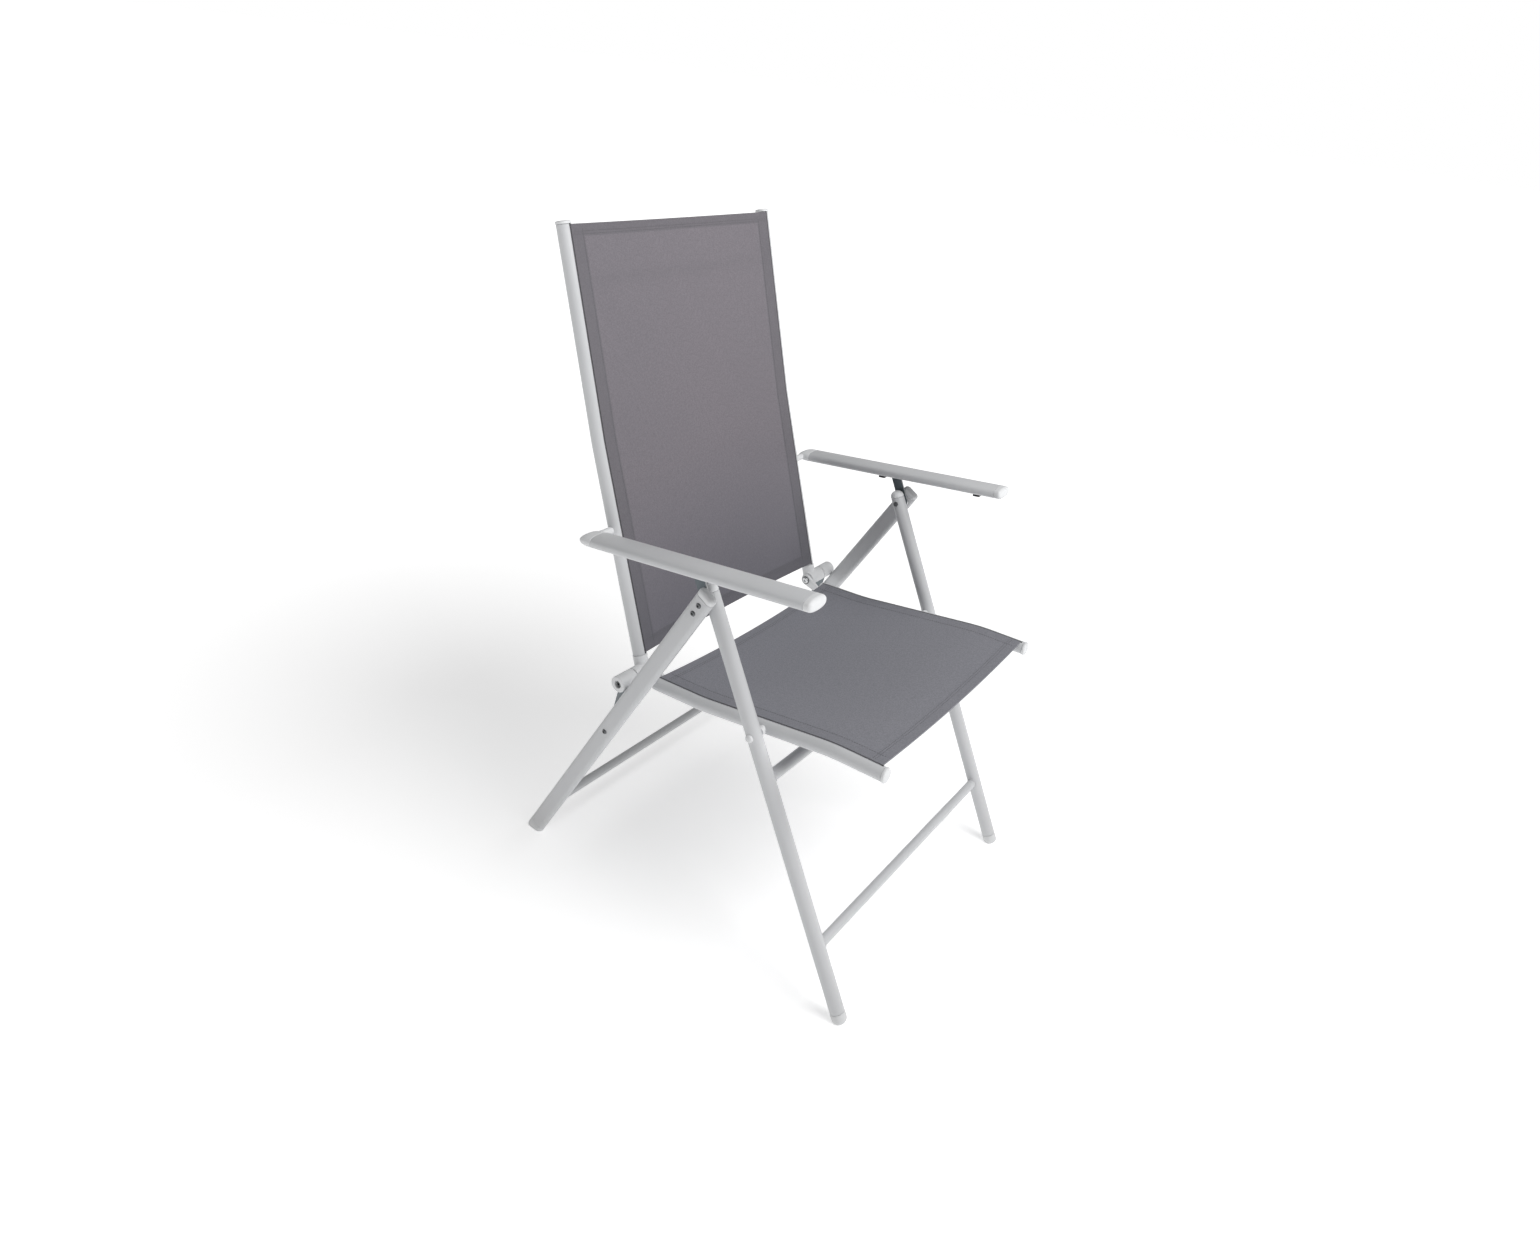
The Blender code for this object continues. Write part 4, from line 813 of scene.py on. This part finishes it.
def makeHingeFittings():
    barrel = straight("barrel", atX(hinge, 0), across, rearward,
                      lambda shrink: circle(fitting["barrelR"] - shrink),
                      roundedEnds(fitting["inner"], barrelEnd, fitting["edge"]))
    wide = bodyR + fitting["columnWall"]
    column = turnedMesh("column", backRoot + across * bodyX, backUp,
                        [(0.0, wide), (backTube["collar"] - gap, wide)])
    skin = meltedMesh("hingeFitting", [barrel, column], fitting["voxel"], fitting["rounds"])
    addPair("hingeFitting", skin, "greyPlastic", "back", "back_hinge_fitting", sharp=60)


def makeSeatEyes():
    outer = fitting["inner"] - gap
    inner = outer - eye["thick"]
    plate = strapMesh("plate", atX(seatRear, 0), atX(hinge, 0), eye["heel"], eye["radius"], inner, outer,
                      eye["edge"])
    nose = turnedMesh("nose", seatRear + across * bodyX, (seatRear - rearBend).normalized(),
                      [(gap, bodyR), (eye["nose"] * 0.5, bodyR), (eye["nose"], bodyR - eye["taper"])])
    skin = meltedMesh("seatEye", [plate, nose], eye["voxel"], eye["rounds"])
    addPair("seatEye", skin, "greyPlastic", "seat", "seat_hinge_eye", sharp=60)
    # washer and socket head on the eye's inner face
    face, thick = atX(hinge, inner - gap), washer["thick"]
    ring = turnedMesh("washer", face, -across,
                      [(0.0, washer["radius"]), (thick / 2, washer["radius"] + washer["belly"]),
                       (thick, washer["radius"])])
    addPair("hingeWasher", ring, "zincSteel", "hinge_bolts")
    addPair("hingeBoltHead", hexHead("hingeBolt", face - across * thick, -across, "hinge"), "brightEdge",
            "hinge_bolts", "hinge_bolt")


def makeBumpers():
    low, high = barrelEnd + bumper["groove"], rearLegX + rearLegThick / 2 - bumper["inset"]
    centre, recess, floor = atX(hinge, 0), bumper["recess"], high - bumper["depth"]
    levels = [(x, fitting["barrelR"] - shrink) for x, shrink in roundedEnds(low, high, bumper["edge"])]
    levels += [(high - 0.0001, recess + bumper["recessEdge"]), (high - 0.0006, recess), (floor, recess)]
    roller = straight("bumper", centre, across, rearward, circle, levels)
    addPair("hingeBumper", roller, "greyPlastic", "links", "hinge_bumper")
    head = hexHead("bumperBolt", centre + across * floor, across, "bumper")
    addPair("bumperBoltHead", head, "zincSteel", "links", "hinge_bumper_bolt")
    plate = strapMesh("linkPlate", centre, atX(linkPivot, 0), linkEndR, linkEndR, plateX - plateThick / 2,
                      plateX + plateThick / 2)
    addPair("linkPlate", plate, "linkPaint", "links", "link_plate")


makeHingeFittings()
makeSeatEyes()
makeBumpers()

secondScrew = 0.0185
rivet = {"radius": 0.0062, "height": 0.0034, "brim": 0.0008}
innerRivet = {"radius": 0.0058, "height": 0.0026, "brim": 0.0006}
rivetSunk, rivetFullness = 0.0012, 0.7
legNut = {"flat": 0.0040, "sunk": 0.0010, "height": 0.0018}
linkNut = {"flat": 0.0044, "sunk": 0.0004, "height": 0.0026}
nutEdge = {"height": 0.0006, "shrink": 0.0004}
bush = {"radius": 0.0070, "sunk": 0.0030, "edge": 0.0004}


def addNut(name, nut, point, x, body):
    flat, high = nut["flat"], nut["height"]
    levels = [(-nut["sunk"], flat), (high, flat), (high + nutEdge["height"], flat - nutEdge["shrink"])]
    mesh = straight("nut", atX(point, x), -across, rearward, hexagon, levels)
    addPair(name, mesh, "zincSteel", body)


def addRivet(name, look, x, axis, node=None):
    levels = [(-rivetSunk, look["radius"]), (look["brim"], look["radius"])]
    levels += domeLevels(look["brim"], look["radius"], look["height"], rivetFullness)[1:]
    addPair(name, turnedMesh("rivet", atX(seatPivot, x), axis, levels), "greyPlastic", "front_frame", node,
            "steel")


def makeFasteners():
    face = rearLegX + rearLegThick / 2
    for label, place, body, node in (
            ("PivotScrew", legPivot, "front_frame", "leg_pivot_bolt"),
            ("CapScrew", legPivot + rearDown * secondScrew, "rear_frame", None),
            ("LinkScrew", linkPivot, "rear_frame", "link_pivot_bolt")):
        addPair("rearLeg" + label, hexHead(label, atX(place, face), across, "screw"), "zincSteel", body, node)
    addNut("legPivotNut", legNut, legPivot, frontLegX - frontLegR, "front_frame")
    addNut("linkPivotNut", linkNut, linkPivot, plateX - plateThick / 2, "rear_frame")
    # pale domed rivets at the seat's pivot, with a bush between the leg and the seat tube
    addRivet("seatPivotDome", rivet, frontLegX + frontLegR, across, "seat_pivot_bolt")
    addRivet("seatPivotInnerDome", innerRivet, bodyX - bodyR, -across)
    start, end = bodyX + bodyR - bush["sunk"], frontLegX - frontLegR - gap
    ring = turnedMesh("bush", atX(seatPivot, 0), across,
                      [(start, bush["radius"]), (end - bush["edge"], bush["radius"]),
                       (end, bush["radius"] - bush["edge"])])
    addPair("seatPivotBush", ring, "greyPlastic", "seat", "seat_pivot_spacer", "steel")


makeFasteners()
print("fittings made")

arm = {"slope": 0.1427, "length": 0.4080, "height": 0.0200, "power": 2.5, "rearTube": 0.0170,
       "rearCap": 0.0105, "frontTube": 0.0070, "frontDome": 0.0120, "edge": 0.0005, "joint": 0.0008,
       "frontRound": 0.0050, "frontDeep": 0.25, "rearRound": 0.0200, "rearDeep": 0.40}
rack = {"start": 0.1700, "end": 0.3720, "inner": 0.0120, "wall": 0.0015, "roof": 0.0040, "lip": 0.0020,
        "pitch": 0.0185, "notch": 0.0068, "flush": -0.0072, "tab": 0.0120, "tooth": 0.0010,
        "lastTooth": 0.0060}
armCollar = {"radius": 0.0060, "innerSunk": 0.0015, "outerSunk": 0.0010, "headLift": 0.0006}
bracket = {"width": 0.0190, "foot": 0.0020, "pinReach": 0.0490, "pinDrop": 0.0053, "pinR": 0.0030,
           "pinShort": 0.0010, "thick": 0.0030, "edge": 0.0004}
armForward = Vector((0, -1, arm["slope"])).normalized()
armUp = Vector((0, armForward.z, -armForward.y))
slotX = (frontLegX + frontLegR + rearLegX - rearLegThick / 2) / 2
rackPin = legPivot - frontDown * bracket["pinReach"]
# y forward along the left arm and z up from its middle line; x points right, so that nothing is mirrored
armPlace = (Matrix.Translation(atX(armPivot, 0))
            @ Matrix((-across, armForward, armUp)).transposed().to_4x4())


def armSection(shrink):
    return superOval(armWidth - 2 * shrink, arm["height"] - 2 * shrink, arm["power"])


def makeArms(steps=10):
    centre = atX(armPivot, armX)
    frontEnd = arm["length"] - arm["frontTube"]
    tube = straight("armrest", centre, armForward, across, armSection,
                    roundedEnds(arm["rearTube"], frontEnd, arm["edge"]))
    half = rack["inner"] / 2 + rack["wall"] + gap
    slot = boxMesh("slot", (-slotX - half, rack["start"] - gap, -arm["height"]),
                   (-slotX + half, rack["end"] + gap, rack["roof"] + rack["wall"] + gap), armPlace, 0)
    addPair("armrest", cutMesh(tube, slot), "greyCoat", "armrests", "armrest")
    for label, start, direction, length in (
            ("front", frontEnd + gap, armForward, arm["frontDome"]),
            ("rear", arm["rearTube"] - gap, -armForward, arm["rearTube"] + arm["rearCap"])):
        bend, deep = arm[label + "Round"], arm["height"] * arm[label + "Deep"]
        levels = [(0.0, arm["joint"]), (arm["joint"], 0.0)]
        for i in range(steps + 1):
            turn = math.pi / 2 * i / steps
            levels.append((length - bend * (1 - math.sin(turn)), (1 - math.cos(turn)) * deep))
        cap = straight("armCap", centre + armForward * start, direction, across, armSection, levels)
        addPair("armrestCap" + label.capitalize(), cap, "greyPlastic", "armrests", f"armrest_{label}_cap")


def makeRacks():
    start, end, roof, inner = rack["start"], rack["end"], rack["roof"] + rack["tooth"], rack["inner"] / 2
    half = inner + rack["wall"]
    low, top = -arm["height"] / 2 - rack["lip"], rack["roof"] + rack["wall"]
    # two side walls, a roof, and a tab at each end that shows below the arm
    parts = [boxMesh("part", (left - slotX, near, bottom), (right - slotX, far, top), armPlace)
             for left, right, near, far, bottom in (
                 (-half, -inner, start, end, rack["flush"]), (inner, half, start, end, rack["flush"]),
                 (-half, half, start, end, roof), (-half, half, start, start + rack["tab"], low),
                 (-half, half, end - rack["tab"], end, low))]
    pitch = rack["pitch"]
    first = (rackPin - armPivot).dot(armForward) - pitch / 2
    origin = atX(armPivot, slotX) + armForward * first + armUp * (roof - rack["tooth"] / 2 + 0.0001)
    count = int((end - rack["lastTooth"] - first) / pitch)
    teeth = rowMesh(toothRow, [([origin, origin + armForward * pitch * count], False)],
                    {"Pitch": pitch * 0.999, "Tooth Length": pitch - rack["notch"],
                     "Tooth Width": rack["inner"], "Tooth Height": rack["tooth"],
                     "Tilt": -math.atan(arm["slope"])}, "blackPlastic")
    addPair("armrestRack", joinedMesh("armrestRack", [*parts, teeth]), "blackPlastic", "armrests",
            "armrest_rack")


def makeArmBolts():
    # shoulder of the pivot bolt between the back tube and the arm, and its head inboard
    collar = turnedMesh("armCollar", atX(armPivot, 0), across,
                        [(bodyX + bodyR - armCollar["innerSunk"], armCollar["radius"]),
                         (armX - armWidth / 2 + armCollar["outerSunk"], armCollar["radius"])])
    addPair("armrestCollar", collar, "greyPlastic", "armrest_bolts", "armrest_pivot_bolt", "steel")
    head = hexHead("armBolt", atX(armPivot, bodyX - bodyR + armCollar["headLift"]), -across, "armrest")
    addPair("armrestBoltHead", head, "zincSteel", "armrest_bolts")


def makeBrackets():
    half, edge = bracket["width"] / 2, bracket["edge"]
    foot, top = legPivot + frontDown * bracket["foot"], rackPin + frontDown * bracket["pinDrop"]
    plate = strapMesh("bracket", foot, top, half, half, slotX - bracket["thick"] / 2,
                      slotX + bracket["thick"] / 2, edge)
    # the flat faces take the dark blue plate finish and the thin edges the bright steel: a painted highlight
    # along the edges, and dark faces that are partly the plate's own colour and partly painted shade
    for label in ("bluePlate", "brightEdge"):
        plate.materials.append(finish[label])
    for face in plate.polygons:
        face.material_index = 0 if abs(face.normal.x) > 0.9 else 1
    addPair("armrestBracket", plate, None, "front_frame", "armrest_bracket", "bracket_paint")
    reach = rack["inner"] / 2 - bracket["pinShort"]
    pin = straight("rackPin", atX(rackPin, slotX), across, rearward,
                   lambda shrink: circle(bracket["pinR"] - shrink, 32), roundedEnds(-reach, reach, edge))
    addPair("rackPin", pin, "zincSteel", "front_frame")


makeArms()
makeRacks()
makeArmBolts()
makeBrackets()
print("armrests made")


def lengths(path):
    total = [0.0]
    for a, b in zip(path, path[1:]):
        total.append(total[-1] + (b - a).length)
    return total


def alongLine(path, totals, distance):
    # the point at a distance along a side line, and the way the line runs there
    last = len(path) - 2
    i = next((k for k in range(last + 1) if distance <= totals[k + 1]), last)
    run = (path[i + 1] - path[i]).normalized()
    return path[i] + run * (distance - totals[i]), run


cloth = {"rise": 0.0113, "sag": 0.0103, "edge": bodyX - 0.0012, "thick": 0.0012, "step": 0.008,
         "hemStep": 0.012, "hemGap": 0.0002, "hemThin": 0.9, "openEdge": 0.004}
backSling = {"path": backLine, "start": 0.0030, "inset": 0.0005, "sideHem": 0.028, "startHem": 0.022,
             "endHem": 0.018, "material": "backCloth", "body": "back", "node": "back_sling", "bar": 0.578}
seatSling = {"path": seatLine, "start": 0.0060, "inset": 0.0030, "sideHem": 0.026, "startHem": 0.022,
             "endHem": 0.022, "material": "seatCloth", "body": "seat", "node": "seat_sling", "bar": 0.060}
barShadow = {"spread": 0.010, "share": 0.30}
stitchLook = {"Spacing": 0.0042, "Bead Length": 0.0031, "Bead Width": 0.00075, "Unevenness": 0.08, "Seed": 5}
stitchAt = (0.003, 0.007)
for sling in (backSling, seatSling):
    sling["totals"] = lengths(sling["path"])
    sling["length"] = sling["totals"][-1] - sling["start"] - sling["inset"]


def slingPoint(sling, along, aside, lift=0.0):
    # the cloth hangs in a shallow curve between the tubes
    point, run = alongLine(sling["path"], sling["totals"], sling["start"] + along)
    height = cloth["rise"] - cloth["sag"] * (1 - (aside / cloth["edge"]) ** 2)
    return point + across * aside + Vector((0, -run.z, run.y)) * (height + lift)


def stops(total, hems, step):
    # even stops along a total, with two close stops at each hem's fold
    marks = {0.0, total}
    for hem in hems:
        marks |= {hem - 0.0006, hem + 0.0006}
    count = round(total / step)
    for i in range(1, count):
        at = total * i / count
        if all(abs(at - hem) > 0.003 for hem in hems):
            marks.add(at)
    return sorted(marks)


def evenStops(low, high):
    count = max(1, round((high - low) / cloth["hemStep"]))
    return [low + (high - low) * i / count for i in range(count + 1)]


def panelMesh(name, sling, alongStops, asideStops, lift, thick, throughShadeAt):
    shape = bmesh.new()
    layer = shape.loops.layers.uv.new("cloth")
    throughShadeLayer = shape.verts.layers.float.new("layers")
    rows = []
    for along in alongStops:
        row = []
        for aside in asideStops:
            vert = shape.verts.new(slingPoint(sling, along, aside, lift))
            vert[throughShadeLayer] = throughShadeAt(along, aside)
            row.append((vert, (aside, along)))
        rows.append(row)
    for low, high in zip(rows, rows[1:]):
        for i in range(len(low) - 1):
            corners = (low[i], low[i + 1], high[i + 1], high[i])
            face = shape.faces.new([corner[0] for corner in corners])
            for loop, corner in zip(face.loops, corners):
                loop[layer].uv = corner[1]
    obj = holder(name, meshOf(name, shape))
    solid = obj.modifiers.new("thickness", "SOLIDIFY")
    solid.thickness = thick
    solid.offset = 0
    return takeMesh(obj)


def makeSling(label, sling):
    length, edge, thick, body = sling["length"], cloth["edge"], cloth["thick"], sling["body"]
    inner = edge - sling["sideHem"]
    startHem, endHem = sling["startHem"], length - sling["endHem"]
    alongStops = stops(length, [startHem, endHem], cloth["step"])
    asideStops = [at - edge for at in stops(2 * edge, [sling["sideHem"], 2 * edge - sling["sideHem"]],
                                            cloth["step"])]

    def throughShadeAt(along, aside):
        # painted shade where less light comes through: 1 over the hems, and a soft painted shadow band where
        # the bowed bar stands behind
        if along < startHem or along > endHem or abs(aside) > inner:
            return 1.0
        behind = math.exp(-((along - sling["bar"]) / barShadow["spread"]) ** 2)
        return barShadow["share"] * behind * (1 - (abs(aside) / edge) ** 6)

    panel = panelMesh(label, sling, alongStops, asideStops, 0.0, thick, throughShadeAt)
    sheet = addPiece(label, panel, sling["material"], body, [sling["node"]])
    # hems are folded to the rear of the cloth, so they stand behind it
    under = -(thick + cloth["hemGap"])
    outer = edge - cloth["openEdge"]
    bands = [panelMesh("hem", sling, evenStops(low, high), evenStops(left, right), under,
                       thick * cloth["hemThin"], lambda along, aside: 1.0)
             for low, high, left, right in ((0.0, startHem, -inner, inner), (endHem, length, -inner, inner),
                                            (0.0, length, inner, outer), (0.0, length, -outer, -inner))]
    hems = addPiece(label + "Hems", joinedMesh(label + "Hems", bands), sling["material"], body)
    # two rows of stitches hold each end hem, one row each side hem, and they show on both faces
    lines = []
    for lift in (thick / 2 + 0.0001, under - thick / 2 - 0.0001):
        for at in [hem + way * row for hem, way in ((startHem, -1), (endHem, 1)) for row in stitchAt]:
            lines.append(([slingPoint(sling, at, aside, lift) for aside in asideStops
                           if abs(aside) < edge - stitchAt[0]], False))
        for side in (1, -1):
            lines.append(([slingPoint(sling, along, side * (inner + stitchAt[0]), lift)
                           for along in alongStops[1:-1]], False))
    stitches = addPiece(label + "Stitches", rowMesh(beadRow, lines, stitchLook, "thread"), "thread", body)


kederSlotShade = {"radius": 0.0013, "inset": 0.0012, "drop": 0.0004, "early": 0.002, "longer": 0.003, "edge": 0.0003,
         "points": 60}


def makeKedersAndSlotShade():
    # the dark welt that holds the cloth in each tube's slot, and its cut ends; along the slot the dark welt
    # also stands in for the shadow line where the cloth enters the tube, so it is partly painted shade
    for label, sling in (("backKederSlotShade", backSling), ("seatKederSlotShade", seatSling)):
        length = sling["length"] + kederSlotShade["longer"]
        stations = [length * i / kederSlotShade["points"] - kederSlotShade["early"] for i in range(kederSlotShade["points"] + 1)]
        path = [slingPoint(sling, at, cloth["edge"] - kederSlotShade["inset"], -kederSlotShade["drop"]) for at in stations]
        welt = sweepMesh(label, path, across, lambda shrink: circle(kederSlotShade["radius"] - shrink, 12),
                         kederSlotShade["edge"])
        addPair(label, welt, "blackPlastic", sling["body"])


makeSling("backSling", backSling)
makeSling("seatSling", seatSling)
makeKedersAndSlotShade()
print("slings made")

studio = {"worldSeen": 1.0, "worldLight": 0.28, "keyPower": 76.0, "keySize": 2.6, "keyAt": (0.3, -1.7, 2.9),
          "keyAim": (0, 0, 0.4), "floorReach": 60.0, "floorDark": (0.90, 0.90, 0.90),
          "floorLight": (0.92, 0.92, 0.92), "glowNear": 0.46, "glowFar": 1.0, "fadeStart": 0.5,
          "fadeEnd": 3.2}
view = {"lens": 23.70, "sensor": 36.0, "shift": (-0.0106, -0.0542), "place": (-1.2867, -0.7779, 1.3045),
        "forward": (0.7646, 0.4899, -0.4190), "right": (0.5812, -0.8051, 0.1191)}


def makeFloor():
    reach = studio["floorReach"]
    mesh = bpy.data.meshes.new("floor")
    mesh.from_pydata([(x * reach, y * reach, -gap) for x, y in ((-1, -1), (1, -1), (1, 1), (-1, 1))],
                     [], [(0, 1, 2, 3)])
    tree, shader, at = newMaterial("paleFloor", Roughness=0.85, Specular_IOR_Level=0.1,
                                   Emission_Color=(1, 1, 1, 1))
    shades = placeGroup(tree, grain, {"Vector": at, "Grain Scale": 300.0, "Drift Scale": 0.6})
    distance = addNode(tree, "ShaderNodeVectorMath", {0: at}, operation="LENGTH").outputs["Value"]
    glow = addNode(tree, "ShaderNodeMapRange",
                   {"Value": distance, 1: studio["fadeStart"], 2: studio["fadeEnd"], 3: studio["glowNear"],
                    4: studio["glowFar"]}, interpolation_type="SMOOTHSTEP").outputs[0]
    colour = mixColours(tree, shades["Drift"], studio["floorDark"], studio["floorLight"])
    feed(tree, shader.inputs, {"Emission Strength": glow, "Base Color": colour})
    mesh.materials.append(bpy.data.materials["paleFloor"])
    holder("floor", mesh)


def makeLights():
    world = bpy.data.worlds.new("studio")
    scene.world = world
    world.use_nodes = True
    tree = world.node_tree
    seen = addNode(tree, "ShaderNodeLightPath").outputs["Is Camera Ray"]
    strength = maths(tree, "MULTIPLY_ADD", seen, studio["worldSeen"] - studio["worldLight"],
                     studio["worldLight"])
    feed(tree, tree.nodes["Background"].inputs, {"Color": (1, 1, 1, 1), "Strength": strength})
    key = bpy.data.lights.new("keyLight", "AREA")
    key.shape = "DISK"
    key.size = studio["keySize"]
    key.energy = studio["keyPower"]
    lamp = holder("keyLight", key)
    lamp.location = studio["keyAt"]
    lamp.rotation_euler = (Vector(studio["keyAim"]) - lamp.location).to_track_quat("-Z", "Y").to_euler()


def makeCamera():
    data = bpy.data.cameras.new("camera")
    data.lens = view["lens"]
    data.sensor_width = view["sensor"]
    data.shift_x, data.shift_y = view["shift"]
    camera = holder("camera", data)
    forward = Vector(view["forward"]).normalized()
    right = Vector(view["right"])
    right = (right - forward * right.dot(forward)).normalized()
    turned = Matrix((right, right.cross(forward), -forward)).transposed().to_4x4()
    camera.matrix_world = Matrix.Translation(view["place"]) @ turned
    scene.camera = camera


makeFloor()
makeLights()
makeCamera()
scene.view_settings.view_transform = "Standard"

print("scene made")
